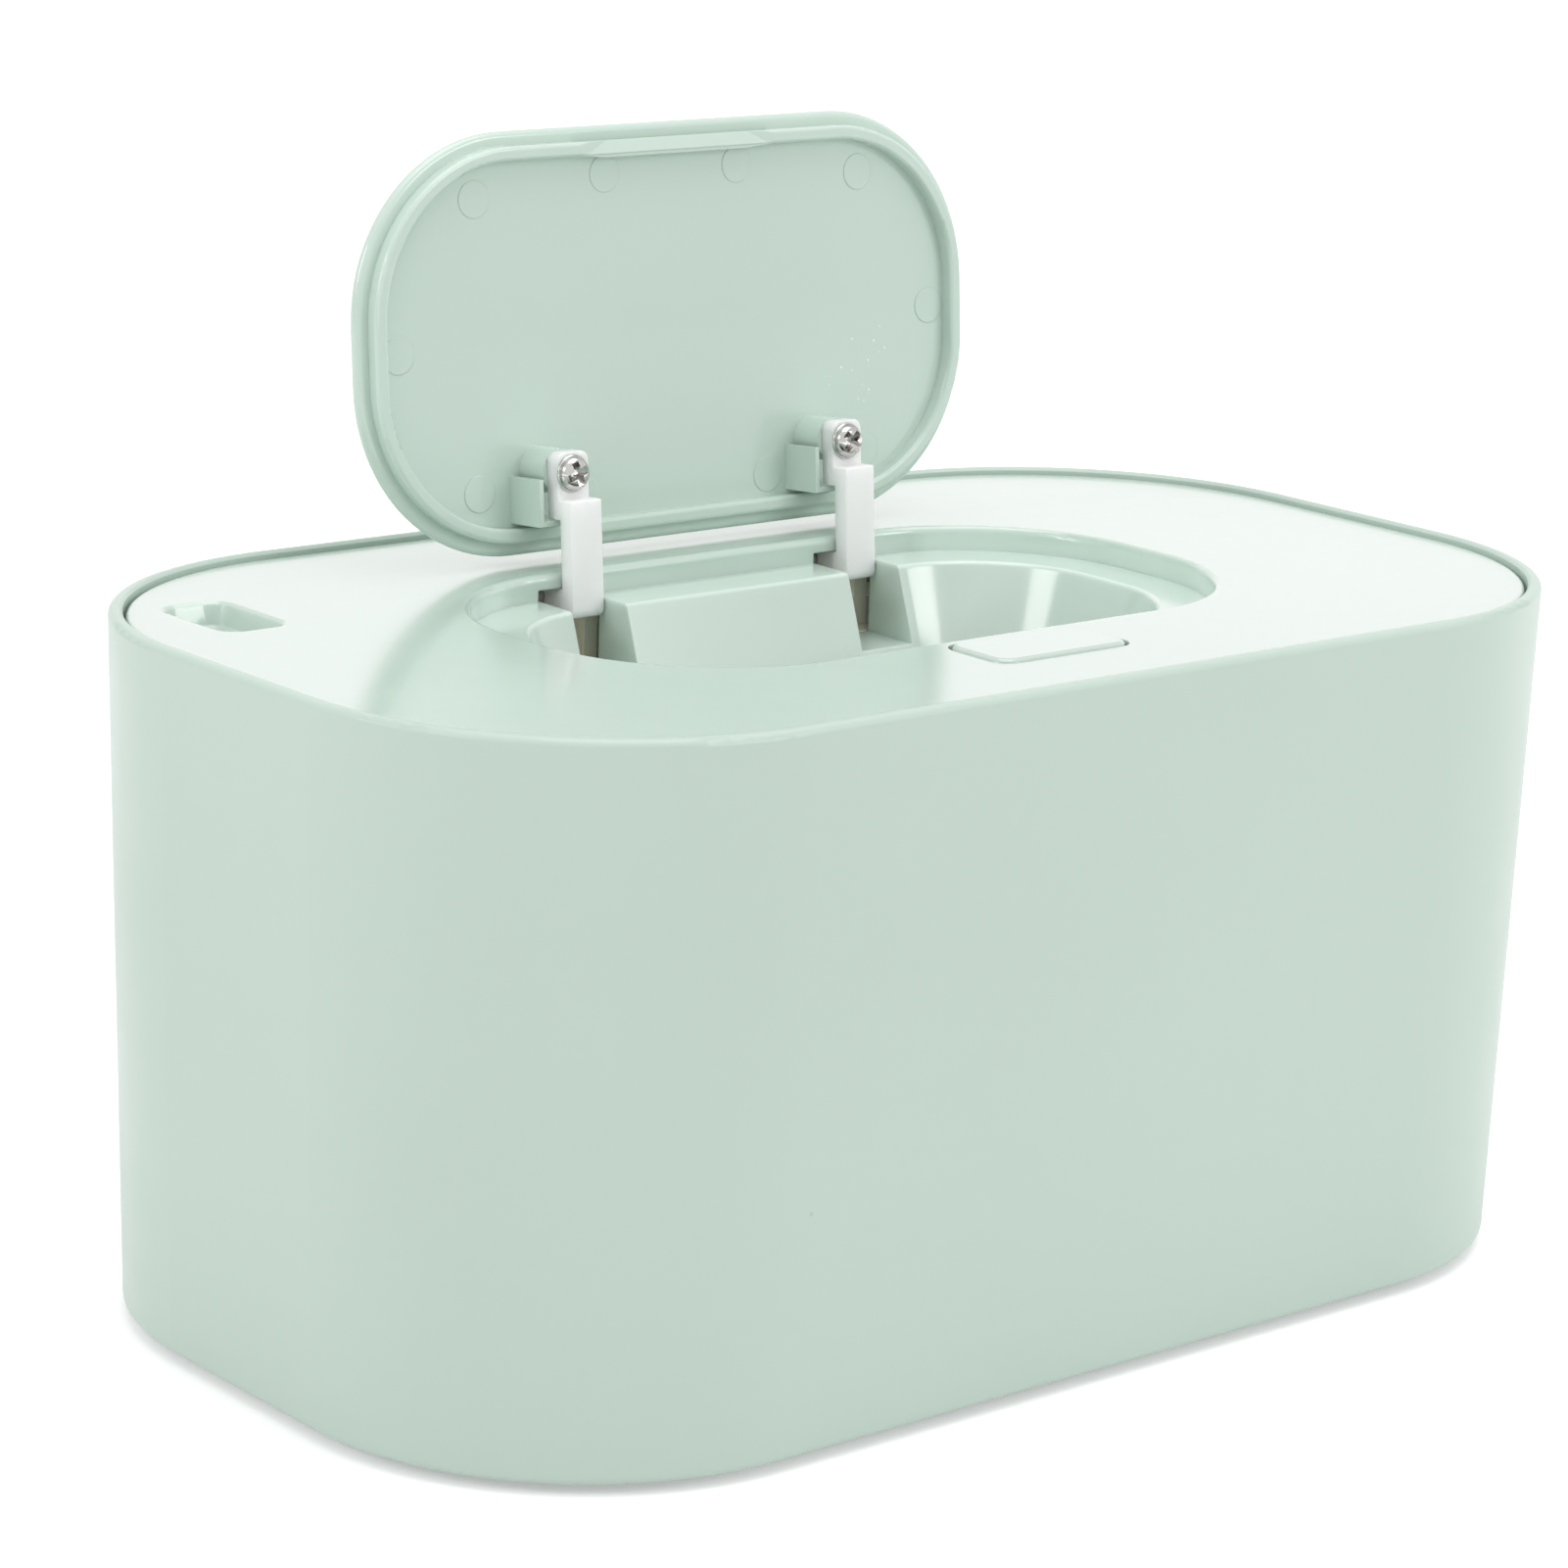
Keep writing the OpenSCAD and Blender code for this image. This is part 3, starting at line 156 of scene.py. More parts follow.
def moulded(name, colour, gloss, coat=0.0, coat_gloss=0.05, peel=260.0, peel_depth=0.02 * mm, glow=0.0,
            glow_depth=1.2 * mm, specks=0.06, dust=0.0, soft_edge=0.25 * mm, bend=1.52):
    """Moulded plastic: colour that drifts a little, orange peel, uneven gloss, dark specks and pale dust.
    gloss and coat_gloss are roughnesses, glow is the light that passes through, bend the refractive index."""
    material, nodes, links = new_finish(name)
    shader = nodes["Principled BSDF"]
    coords = nodes.new("ShaderNodeTexCoord").outputs["Object"]
    drift = spread(nodes, links, noise(nodes, links, coords, 9.0, 3.0), 0.0, 1.0)
    tone = two_tones(nodes, links, drift, [c * 0.975 for c in colour], [min(1, c * 1.02) for c in colour])
    if specks:
        tone = two_tones(nodes, links, scattered_dots(nodes, links, coords, 55.0, 0.02, specks), tone,
                         (colour[0] * 0.45, colour[1] * 0.4, colour[2] * 0.4))
    if dust:
        tone = two_tones(nodes, links, scattered_dots(nodes, links, coords, 160.0, 0.045, dust), tone,
                         [min(1, c * 1.22) for c in colour])
    links.new(tone, shader.inputs["Base Color"])
    links.new(spread(nodes, links, noise(nodes, links, coords, 38.0, 4.0, 0.6), gloss * 0.85, gloss * 1.2),
              shader.inputs["Roughness"])
    shader.inputs["IOR"].default_value = bend
    shader.inputs["Coat Weight"].default_value = coat
    shader.inputs["Coat Roughness"].default_value = coat_gloss
    shader.inputs["Subsurface Weight"].default_value = glow
    shader.inputs["Subsurface Radius"].default_value = (1.0, 1.0, 0.9)
    shader.inputs["Subsurface Scale"].default_value = glow_depth
    relief(nodes, links, shader, noise(nodes, links, coords, peel, 2.0), peel_depth, soft_edge)
    return material


def finish_node(name, material):
    """Gives a solid that keeps its shape its finish."""
    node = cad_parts[name]
    node.data.materials.clear()
    node.data.materials.append(material)


mint = (0.535, 0.648, 0.58)
housing_mint = moulded("housing_mint", [c * 0.975 for c in mint], 0.37, glow=0.1, bend=1.46)
finish_node("outer_shell", housing_mint)


# Base plate
# A flat ABS plate that closes the bottom, in the housing's colour with a fine matt texture.
# Four screws hold it, and posts on its inner side carry the board and the insulation.
base_texture = moulded("base_texture", [c * 0.92 for c in mint], 0.55, peel=1500.0, peel_depth=0.05 * mm)
finish_node("base_plate", base_texture)


# Feet
# Four round soft-rubber feet, pressed into pockets of the base plate, slightly dusty underneath.
def soft_rubber(name, colour, grain):
    """Matt rubber with a fine grain and dusty patches."""
    material, nodes, links = new_finish(name)
    shader = nodes["Principled BSDF"]
    coords = nodes.new("ShaderNodeTexCoord").outputs["Object"]
    dusty = spread(nodes, links, noise(nodes, links, coords, 60.0, 5.0, 0.7), 0.0, 1.0, 0.35, 0.75)
    links.new(two_tones(nodes, links, dusty, colour, [c * 0.86 for c in colour]), shader.inputs["Base Color"])
    links.new(spread(nodes, links, dusty, 0.6, 0.85, 0.0, 1.0), shader.inputs["Roughness"])
    shader.inputs["Subsurface Weight"].default_value = 0.15
    shader.inputs["Subsurface Scale"].default_value = 0.8 * mm
    relief(nodes, links, shader, noise(nodes, links, coords, grain, 3.0), 0.03 * mm, 0.3 * mm)
    return material


finish_node("rubber_feet", soft_rubber("foot_rubber", (0.66, 0.68, 0.66), 1400.0))


# Base screws
# Four zinc-plated pan-head screws with a cross recess, driven up through the base into the posts.
def plated(name, colour, gloss, grain=300.0, soft_edge=0.08 * mm, painted_shade_reach=0.0):
    """Plated or plain steel: uneven gloss and tone, and fine tool marks. The last argument sets how far painted
    shade, from ambient occlusion, darkens corners and recesses; 0 paints none.
    """
    material, nodes, links = new_finish(name)
    shader = nodes["Principled BSDF"]
    coords = nodes.new("ShaderNodeTexCoord").outputs["Object"]
    patch = noise(nodes, links, coords, grain, 3.0)
    tone = two_tones(nodes, links, spread(nodes, links, patch, 0.0, 1.0), colour, [c * 0.82 for c in colour])
    # Painted shade: the tone turns dark brown where ambient occlusion finds corners and recesses, such as the cross
    # in a screw head.
    if painted_shade_reach:
        corner = nodes.new("ShaderNodeAmbientOcclusion")
        corner.inputs["Distance"].default_value = painted_shade_reach
        tone = two_tones(nodes, links, spread(nodes, links, corner.outputs["AO"], 0.0, 1.0, 0.3, 0.8),
                         (0.06, 0.045, 0.04), tone)
    links.new(tone, shader.inputs["Base Color"])
    links.new(spread(nodes, links, patch, gloss * 0.7, gloss * 1.4), shader.inputs["Roughness"])
    shader.inputs["Metallic"].default_value = 1.0
    relief(nodes, links, shader, noise(nodes, links, coords, grain * 6, 2.0), 0.006 * mm, soft_edge)
    return material


def solid_mesh(name, rings):
    """A closed skin through rings of points, each with the same number of points."""
    skin = bmesh.new()
    rows = [[skin.verts.new(p) for p in ring] for ring in rings]
    for low, high in zip(rows, rows[1:]):
        for k in range(len(low)):
            n = (k + 1) % len(low)
            skin.faces.new((low[k], low[n], high[n], high[k]))
    skin.faces.new(rows[0])
    skin.faces.new(rows[-1])
    bmesh.ops.recalc_face_normals(skin, faces=skin.faces)
    mesh = bpy.data.meshes.new(name)
    skin.to_mesh(mesh)
    skin.free()
    piece = bpy.data.objects.new(name, mesh)
    bpy.context.scene.collection.objects.link(piece)
    return piece


def settled(piece):
    """Keeps the mesh as its modifiers leave it."""
    made = bpy.data.meshes.new_from_object(piece.evaluated_get(bpy.context.evaluated_depsgraph_get()))
    made.name = piece.name
    piece.modifiers.clear()
    piece.data = made


def fitted(piece, other, operation):
    """Joins the other piece to this one or cuts it away, and takes the other piece out of the scene."""
    step = piece.modifiers.new("fit", "BOOLEAN")
    step.operation, step.solver, step.object = operation, "EXACT", other
    settled(piece)
    bpy.data.objects.remove(other)


def turned(name, profile):
    """A round solid from a profile of (radius, height) points that starts and ends near the axis."""
    sides = 64
    return solid_mesh(name, [[(r * math.cos(a), r * math.sin(a), z)
                              for a in (math.tau * k / sides for k in range(sides))] for r, z in profile])


def arc(centre_r, centre_z, radius, start, end, steps):
    """Points of a round stretch of a profile, from one angle to another in degrees."""
    return [(centre_r + radius * math.cos(math.radians(start + (end - start) * k / steps)),
             centre_z + radius * math.sin(math.radians(start + (end - start) * k / steps)))
            for k in range(steps + 1)]


def cross_bit(name, top, depth, reach, wing):
    """The tapered cross that a driver bit leaves, from just above the head's top down to its floor."""
    def outline(share):
        w, r = wing * (0.6 + 0.4 * share) / 2, reach * (0.3 + 0.7 * share)
        corner = [(r, -w), (r, w), (w, w)]
        return [(x * c - y * s, x * s + y * c) for c, s in ((1, 0), (0, 1), (-1, 0), (0, -1)) for x, y in corner]
    above = 0.2 * mm
    levels = ((top - depth, 0.0), (top + above, 1.0 + above / depth))
    return solid_mesh(name, [[(x, y, z) for x, y in outline(share)] for z, share in levels])


def pan_screws(name, places, down, head_r, head_h, shank_r, length, pan=0.8, dome=0.5, cross=0.56, turns=(0, 30)):
    """Screws with their washer faces at those places. down is the way that their shanks point.
    pan, dome and cross are shares of the head: its width above the flange, its rounding and the cross's reach."""
    flange, pan_r, edge = (1.1 - pan) * head_h, pan * head_r, dome * head_h
    profile = [(0.1 * shank_r, -length), (0.7 * shank_r, -length + 0.3 * shank_r), (shank_r, -length + shank_r),
               (shank_r, 0), (head_r - flange / 2, 0)]
    profile += arc(head_r - flange / 2, flange / 2, flange / 2, -60, 90, 6)
    profile += [(pan_r, flange)] + arc(pan_r - edge, head_h - edge, edge, 0, 80, 8)
    profile += [(0.3 * pan_r, head_h + 0.005 * mm), (0.1 * shank_r, head_h + 0.006 * mm)]
    screw = turned(name, profile)
    fitted(screw, cross_bit("bit", head_h, 0.75 * head_h, cross * head_r, 0.6 * cross * head_r), "DIFFERENCE")
    way = Vector(down).normalized().to_track_quat("-Z", "Y").to_matrix().to_4x4()
    whole = bmesh.new()
    for k, place in enumerate(places):
        one = screw.data.copy()
        one.transform(Matrix.Translation(place) @ way @ Matrix.Rotation(math.radians(turns[k % len(turns)]), 4, "Z"))
        whole.from_mesh(one)
        bpy.data.meshes.remove(one)
    whole.to_mesh(screw.data)
    whole.free()
    smooth_edges(screw, 40)
    return screw


def smooth_edges(piece, angle):
    """Shades smooth across every edge that turns by less than the angle, in degrees."""
    piece.data.shade_smooth()
    skin = bmesh.new()
    skin.from_mesh(piece.data)
    for edge in skin.edges:
        if len(edge.link_faces) == 2 and edge.calc_face_angle() > math.radians(angle):
            edge.smooth = False
    skin.to_mesh(piece.data)
    skin.free()


def seat_of(node, axis, side):
    """Where the heads of a node's screws sit, one place for each of its loose solids."""
    skin = bmesh.new()
    skin.from_mesh(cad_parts[node].data)
    bmesh.ops.remove_doubles(skin, verts=skin.verts, dist=0.001 * mm)
    left, places = set(skin.verts), []
    while left:
        island, reached = set(), [left.pop()]
        while reached:
            point = reached.pop()
            island.add(point)
            for edge in point.link_edges:
                other = edge.other_vert(point)
                if other in left:
                    left.discard(other)
                    reached.append(other)
        low = [min(v.co[i] for v in island) for i in range(3)]
        high = [max(v.co[i] for v in island) for i in range(3)]
        middle = Vector([(a + b) / 2 for a, b in zip(low, high)])
        middle[axis] = (low if side < 0 else high)[axis]
        places.append(middle)
    skin.free()
    return sorted(places, key=lambda p: tuple(p))


zinc = plated("zinc", (0.56, 0.56, 0.57), 0.28)
base_head_r, base_head_h, base_shank_r = 2.7 * mm, 1.7 * mm, 1.3 * mm
base_heads = seat_of("base_screws", 2, -1)
base_screw_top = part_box("base_screws")[1].z
base_screw_set = pan_screws("base_screw_set", [p + Vector((0, 0, base_head_h)) for p in base_heads], (0, 0, 1),
                            base_head_r, base_head_h, base_shank_r, base_screw_top - base_heads[0].z - base_head_h)
base_screw_set.data.materials.append(zinc)
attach(base_screw_set, "housing")
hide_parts("base_screws")


# Tub
# A deep white polypropylene liner with a flange that rests on the housing's inner ledge.
# Its floor and walls are satin, and a pack of wipes stands in it.
finish_node("inner_tub", moulded("tub_white", (0.86, 0.87, 0.85), 0.32, peel=420.0, glow=0.25, glow_depth=2 * mm))


# Heater film
# An amber polyimide film with an etched copper track, stuck under the tub's floor.
def heater_track():
    material, nodes, links = new_finish("heater_track")
    shader = nodes["Principled BSDF"]
    coords = nodes.new("ShaderNodeTexCoord").outputs["Object"]
    bands = nodes.new("ShaderNodeTexWave")
    bands.bands_direction = "Y"
    bands.inputs["Scale"].default_value = 70.0
    links.new(coords, bands.inputs["Vector"])
    track = spread(nodes, links, bands.outputs["Fac"], 0.0, 1.0, 0.45, 0.55)
    links.new(two_tones(nodes, links, track, (0.62, 0.27, 0.035), (0.42, 0.17, 0.06)), shader.inputs["Base Color"])
    links.new(spread(nodes, links, noise(nodes, links, coords, 90.0, 3.0), 0.18, 0.3), shader.inputs["Roughness"])
    shader.inputs["Coat Weight"].default_value = 0.6
    relief(nodes, links, shader, track, 0.03 * mm)
    return material


finish_node("heater_film", heater_track())


# Insulation pad
# A pale ceramic-felt sheet under the film. Short fibres show on its cut faces.
def felt():
    material, nodes, links = new_finish("ceramic_felt")
    shader = nodes["Principled BSDF"]
    coords = nodes.new("ShaderNodeTexCoord").outputs["Object"]
    fibres = noise(nodes, links, coords, 700.0, 8.0, 0.75)
    links.new(two_tones(nodes, links, spread(nodes, links, fibres, 0.0, 1.0), (0.6, 0.57, 0.5), (0.8, 0.78, 0.71)),
              shader.inputs["Base Color"])
    shader.inputs["Roughness"].default_value = 0.95
    shader.inputs["Sheen Weight"].default_value = 0.4
    relief(nodes, links, shader, fibres, 0.2 * mm)
    return material


finish_node("insulation_pad", felt())


# Thermostat
# A disc thermostat clamped to the film: an aluminium cup on top, a black phenolic body below it
# and two tinned terminals that stand down for the leads.
def height_bands(name, levels, tones, glosses, metals):
    """One solid that is made of several materials, stacked in z: tones[i] lies above levels[i - 1]."""
    material, nodes, links = new_finish(name)
    shader = nodes["Principled BSDF"]
    coords = nodes.new("ShaderNodeTexCoord").outputs["Object"]
    split = nodes.new("ShaderNodeSeparateXYZ")
    links.new(coords, split.inputs["Vector"])
    patch = spread(nodes, links, noise(nodes, links, coords, 240.0, 4.0), 0.86, 1.0)
    tone = nodes.new("ShaderNodeValToRGB")
    rough = nodes.new("ShaderNodeValToRGB")
    metal = nodes.new("ShaderNodeValToRGB")
    margin = 5 * mm
    low, high = levels[0] - margin, levels[-1] + margin
    place = spread(nodes, links, split.outputs["Z"], 0.0, 1.0, low, high)
    for ramp, values in ((tone, tones), (rough, [(g, g, g) for g in glosses]), (metal, [(m, m, m) for m in metals])):
        ramp.color_ramp.interpolation = "CONSTANT"
        ramp.color_ramp.elements.remove(ramp.color_ramp.elements[1])
        ramp.color_ramp.elements[0].color = (*values[0], 1)
        for level, value in zip(levels, values[1:]):
            ramp.color_ramp.elements.new((level - low) / (high - low)).color = (*value, 1)
        links.new(place, ramp.inputs["Fac"])
    shade = nodes.new("ShaderNodeMix")
    shade.data_type, shade.blend_type = "RGBA", "MULTIPLY"
    shade.inputs["Factor"].default_value = 1.0
    links.new(tone.outputs["Color"], shade.inputs["A"])
    links.new(patch, shade.inputs["B"])
    links.new(shade.outputs["Result"], shader.inputs["Base Color"])
    links.new(rough.outputs["Color"], shader.inputs["Roughness"])
    links.new(metal.outputs["Color"], shader.inputs["Metallic"])
    relief(nodes, links, shader, noise(nodes, links, coords, 900.0, 2.0), 0.01 * mm, 0.15 * mm)
    return material


stat_low, stat_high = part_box("thermostat")
body_bottom, cup_bottom = stat_high.z - 4.0 * mm, stat_high.z - 2.6 * mm
tinned, phenolic, aluminium = (0.6, 0.6, 0.58), (0.025, 0.024, 0.026), (0.62, 0.63, 0.64)
finish_node("thermostat", height_bands("thermostat_body", (body_bottom, cup_bottom), (tinned, phenolic, aluminium),
                                       glosses=(0.3, 0.45, 0.25), metals=(1.0, 0.0, 1.0)))


# Leads
# Four thin stranded wires in PVC: red and black from the film's tab, two white from the thermostat.
# All are soldered on top of the control board.
def tube(name, paths, radius, sides=16):
    """Round wire along each list of points, with slightly rounded ends."""
    whole = bmesh.new()
    for points in paths:
        points = [Vector(p) for p in points]
        ways = [(b - a).normalized() for a, b in zip(points[:-1] + points[-2:-1], points[1:] + points[-1:])]
        ways[1:-1] = [(points[k + 1] - points[k - 1]).normalized() for k in range(1, len(points) - 1)]
        side = ways[0].orthogonal().normalized()
        rings = []
        for point, way in zip(points, ways):
            side = (side - way * side.dot(way)).normalized()
            across = way.cross(side)
            rings.append((point, [side * math.cos(a) + across * math.sin(a)
                                  for a in (math.tau * k / sides for k in range(sides))]))
        end_reach, end_size = radius * 0.25, 0.75
        first = (rings[0][0] - ways[0] * end_reach, rings[0][1])
        last = (rings[-1][0] + ways[-1] * end_reach, rings[-1][1])
        sizes = [end_size] + [1.0] * len(rings) + [end_size]
        skin = solid_mesh(name, [[point + out * radius * size for out in outs]
                                 for (point, outs), size in zip([first] + rings + [last], sizes)])
        whole.from_mesh(skin.data)
        bpy.data.objects.remove(skin)
    mesh = bpy.data.meshes.new(name)
    whole.to_mesh(mesh)
    whole.free()
    piece = bpy.data.objects.new(name, mesh)
    bpy.context.scene.collection.objects.link(piece)
    smooth_edges(piece, 40)
    return piece


def wire_run(start, start_way, end, end_way, reach):
    """A wire that leaves both ends straight and bends smoothly between them."""
    stub, steps = 0.6 * mm, 30
    start, end, start_way, end_way = Vector(start), Vector(end), Vector(start_way), Vector(end_way)
    p, q = start + stub * start_way, end + stub * end_way
    pc, qc = p + reach[0] * start_way, q + reach[1] * end_way
    curve = [(1 - t) ** 3 * p + 3 * (1 - t) ** 2 * t * pc + 3 * (1 - t) * t * t * qc + t ** 3 * q
             for t in (k / steps for k in range(steps + 1))]
    return [start] + curve + [end]


film_low, film_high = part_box("heater_film")
board_low, board_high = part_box("control_board")
board_top = board_low.z + 1.6 * mm
board_wid = board_high.y - board_low.y
pad_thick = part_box("insulation_pad")[1].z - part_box("insulation_pad")[0].z
stat_middle = (stat_low.x + stat_high.x) / 2
solder_gap, lead_r = 0.2 * mm, 0.6 * mm
film_lead_x, film_lead_y = 6 * mm, film_high.y - 2 * mm
terminal_x, terminal_y, terminal_z = 3 * mm, 0.4 * mm, film_low.z - 6 * mm
board_lead_x, board_lead_apart, board_lead_y = board_low.x + 10 * mm, 1.8 * mm, board_low.y + 2.2 * mm
lead_paths = [wire_run((s * film_lead_x, film_lead_y, film_low.z - solder_gap), (0, 0, -1),
                       (s * film_lead_x, board_low.y + board_wid / 3, board_top + solder_gap), (0, 0, 1),
                       (pad_thick, pad_thick)) for s in (-1, 1)]
lead_paths += [wire_run((stat_middle + s * terminal_x, terminal_y + solder_gap, terminal_z), (0, 1, 0),
                        (board_lead_x + s * board_lead_apart, board_lead_y, board_top + solder_gap), (0, 0, 1),
                        (board_lead_y / 2, pad_thick)) for s in (-1, 1)]
wires = tube("wires", lead_paths, lead_r)
for name, colour in (("red_pvc", (0.5, 0.03, 0.025)), ("black_pvc", (0.02, 0.02, 0.022)),
                     ("white_pvc", (0.78, 0.78, 0.75))):
    wires.data.materials.append(moulded(name, colour, 0.35, specks=0.0, soft_edge=0.0))
white_leads_end = -15 * mm
for face in wires.data.polygons:
    face.material_index = 2 if face.center.x < white_leads_end else int(face.center.x > 0)
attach(wires, "housing")
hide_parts("heater_leads")


# Control board
# Green glass-epoxy board on four posts of the base plate, with chips, a transformer and two capacitors.
# The parts stand above the solder mask, and the copper tracks show as faint lines in it.
def printed_board():
    """Solder mask with faint tracks up to the board's top, and black parts above it."""
    material, nodes, links = new_finish("printed_board")
    shader = nodes["Principled BSDF"]
    coords = nodes.new("ShaderNodeTexCoord").outputs["Object"]
    split = nodes.new("ShaderNodeSeparateXYZ")
    links.new(coords, split.inputs["Vector"])
    tracks = nodes.new("ShaderNodeTexBrick")
    tracks.inputs["Scale"].default_value = 320.0
    tracks.inputs["Mortar Size"].default_value = 0.06
    tracks.inputs["Color1"].default_value = tracks.inputs["Color2"].default_value = (0.012, 0.105, 0.035, 1)
    tracks.inputs["Mortar"].default_value = (0.03, 0.2, 0.07, 1)
    links.new(coords, tracks.inputs["Vector"])
    part = spread(nodes, links, split.outputs["Z"], 0.0, 1.0, board_top + 0.02 * mm, board_top + 0.06 * mm)
    links.new(two_tones(nodes, links, part, tracks.outputs["Color"], (0.022, 0.022, 0.024)),
              shader.inputs["Base Color"])
    links.new(spread(nodes, links, noise(nodes, links, coords, 200.0, 3.0), 0.22, 0.36), shader.inputs["Roughness"])
    relief(nodes, links, shader, tracks.outputs["Fac"], 0.02 * mm, 0.15 * mm)
    return material


finish_node("control_board", printed_board())


# Board screws
# Four small zinc-plated screws that hold the board down on its posts.
def small_screws(name, node, down, body):
    """The small pan-head screws of one node. down is +1 where their shanks point up, -1 where down."""
    head_r, head_h, shank_r = 2.3 * mm, 1.4 * mm, 1.1 * mm
    heads = seat_of(node, 2, -down)
    low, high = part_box(node)
    screws = pan_screws(name, [p + Vector((0, 0, down * head_h)) for p in heads], (0, 0, down),
                        head_r, head_h, shank_r, high.z - low.z - head_h)
    screws.data.materials.append(zinc)
    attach(screws, body)
    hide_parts(node)


small_screws("board_screw_set", "board_screws", -1, "housing")


# Power socket
# A low-voltage socket soldered to the board: a drawn steel shell round a black plastic tongue.
def socket_finish():
    """Bright steel, with black plastic where the tongue lies in the middle of the mouth."""
    material, nodes, links = new_finish("socket_finish")
    shader = nodes["Principled BSDF"]
    coords = nodes.new("ShaderNodeTexCoord").outputs["Object"]
    split = nodes.new("ShaderNodeSeparateXYZ")
    links.new(coords, split.inputs["Vector"])
    low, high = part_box("power_socket")
    tongue_z, tongue_half_h, tongue_half_w = (low.z + high.z) / 2, 0.4 * mm, 3.5 * mm
    off_z = combined(nodes, links, "ABSOLUTE", combined(nodes, links, "SUBTRACT", split.outputs["Z"], tongue_z), 0)
    off_x = combined(nodes, links, "ABSOLUTE", split.outputs["X"], 0)
    tongue = combined(nodes, links, "MULTIPLY",
                      spread(nodes, links, off_z, 1.0, 0.0, tongue_half_h, tongue_half_h + 0.05 * mm),
                      spread(nodes, links, off_x, 1.0, 0.0, tongue_half_w, tongue_half_w + 0.1 * mm))
    links.new(two_tones(nodes, links, tongue, (0.55, 0.55, 0.56), (0.015, 0.015, 0.016)),
              shader.inputs["Base Color"])
    links.new(spread(nodes, links, tongue, 1.0, 0.0, 0.0, 1.0), shader.inputs["Metallic"])
    links.new(spread(nodes, links, noise(nodes, links, coords, 300.0, 3.0), 0.2, 0.34), shader.inputs["Roughness"])
    relief(nodes, links, shader, noise(nodes, links, coords, 1800.0, 2.0), 0.005 * mm, 0.1 * mm)
    return material


finish_node("power_socket", socket_finish())


# Cover
# The lift-off cover, one glossy ABS moulding with the lid's recess, the throat for the wipes, the two
# hinge slots and the finger notch. Its top is polished, so it mirrors the lid and the white surround.
cover_mint = moulded("cover_mint", mint, 0.2, coat=1.0, coat_gloss=0.13, peel=180.0,
                     peel_depth=0.012 * mm, glow=0.3, glow_depth=2.5 * mm, specks=0.09, soft_edge=0.45 * mm)
finish_node("top_cover", cover_mint)
nodes, links = cover_mint.node_tree.nodes, cover_mint.node_tree.links
shader, split = nodes["Principled BSDF"], nodes.new("ShaderNodeSeparateXYZ")
links.new(nodes.new("ShaderNodeTexCoord").outputs["Object"], split.inputs["Vector"])
along, deep, high = (split.outputs[axis] for axis in "XYZ")
cover_top, slot_floor = 100.6 * mm, 96.2 * mm
recess_back, throat_front, throat_back, recess_left = 29 * mm, 18 * mm, 26 * mm, -75 * mm
polish = spread(nodes, links, high, 0.0, 1.0, cover_top - 1.2 * mm, cover_top - 0.4 * mm)
links.new(spread(nodes, links, polish, 0.7, 1.0, 0.0, 1.0), shader.inputs["Coat Weight"])
# Painted light: below the polished top, the recess's walls, its rear ledge and the throat get a paler mint that
# stands in for light bouncing into the recess. The lower coat weight below the top is the real satin finish.
rear_ledge = combined(nodes, links, "MULTIPLY", spread(nodes, links, deep, 1.0, 0.0, recess_back, recess_back + mm),
                      spread(nodes, links, high, 0.0, 1.0, slot_floor, slot_floor + 0.4 * mm))
throat_side = combined(nodes, links, "MAXIMUM", rear_ledge,
                       spread(nodes, links, deep, 1.0, 0.0, throat_front, throat_back))
mouth_side = spread(nodes, links, along, 0.0, 1.0, recess_left, recess_left + 5 * mm)
painted_light_mask = combined(nodes, links, "MULTIPLY", combined(nodes, links, "MULTIPLY", throat_side, mouth_side),
                 combined(nodes, links, "SUBTRACT", 1.0, polish))
painted_light_tone = (0.635, 0.752, 0.685)
links.new(two_tones(nodes, links, painted_light_mask, shader.inputs["Base Color"].links[0].from_socket, painted_light_tone),
          shader.inputs["Base Color"])


# Seal
# A soft silicone ring, pushed on the cover's skirt, that presses on the tub's flange.
finish_node("cover_seal", soft_rubber("silicone", (0.8, 0.8, 0.77), 700.0))


# Hinge bracket
# A cream acetal moulding under the cover that carries the hinge pin in four ears, held by two screws.
# It is the pale floor and wall that show through the hinge slots.
finish_node("hinge_bracket", moulded("acetal_cream", (0.97, 0.94, 0.79), 0.38, coat=0.5, coat_gloss=0.3))
small_screws("bracket_screw_set", "bracket_screws", 1, "cover")


# Hinge pin
# A ground steel pin, pressed into the two arms, that turns in the bracket's ears.
finish_node("hinge_pin", plated("ground_steel", (0.6, 0.6, 0.61), 0.16, grain=600.0))


# Hinge spring
# A torsion spring of bright wire round the pin. One end sits in the pin's cross hole and the other
# in the bracket's rear wall, so it winds as the lid turns.
pin_low, pin_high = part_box("hinge_pin")
pivot = Vector((0, (pin_low.y + pin_high.y) / 2, (pin_low.z + pin_high.z) / 2))
open_angle = math.radians(94.7)
bright_wire = plated("bright_wire", (0.62, 0.61, 0.59), 0.2, grain=500.0, soft_edge=0.0)
coil_wire, coil_r, coil_turns, coil_pitch, turn_steps = 0.5 * mm, 2.15 * mm, 9, 1.6 * mm, 32
spring_low, spring_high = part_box("hinge_spring")
coil_start = math.pi / 2 - open_angle
coil_sweep = coil_turns * math.tau - math.pi / 2 - coil_start
coil_steps = coil_turns * turn_steps
hinge_coil = [(spring_low.x + coil_wire, pivot.y + share * coil_r * math.cos(coil_start),
               pivot.z + share * coil_r * math.sin(coil_start)) for share in (0.1, 0.4, 0.7)]
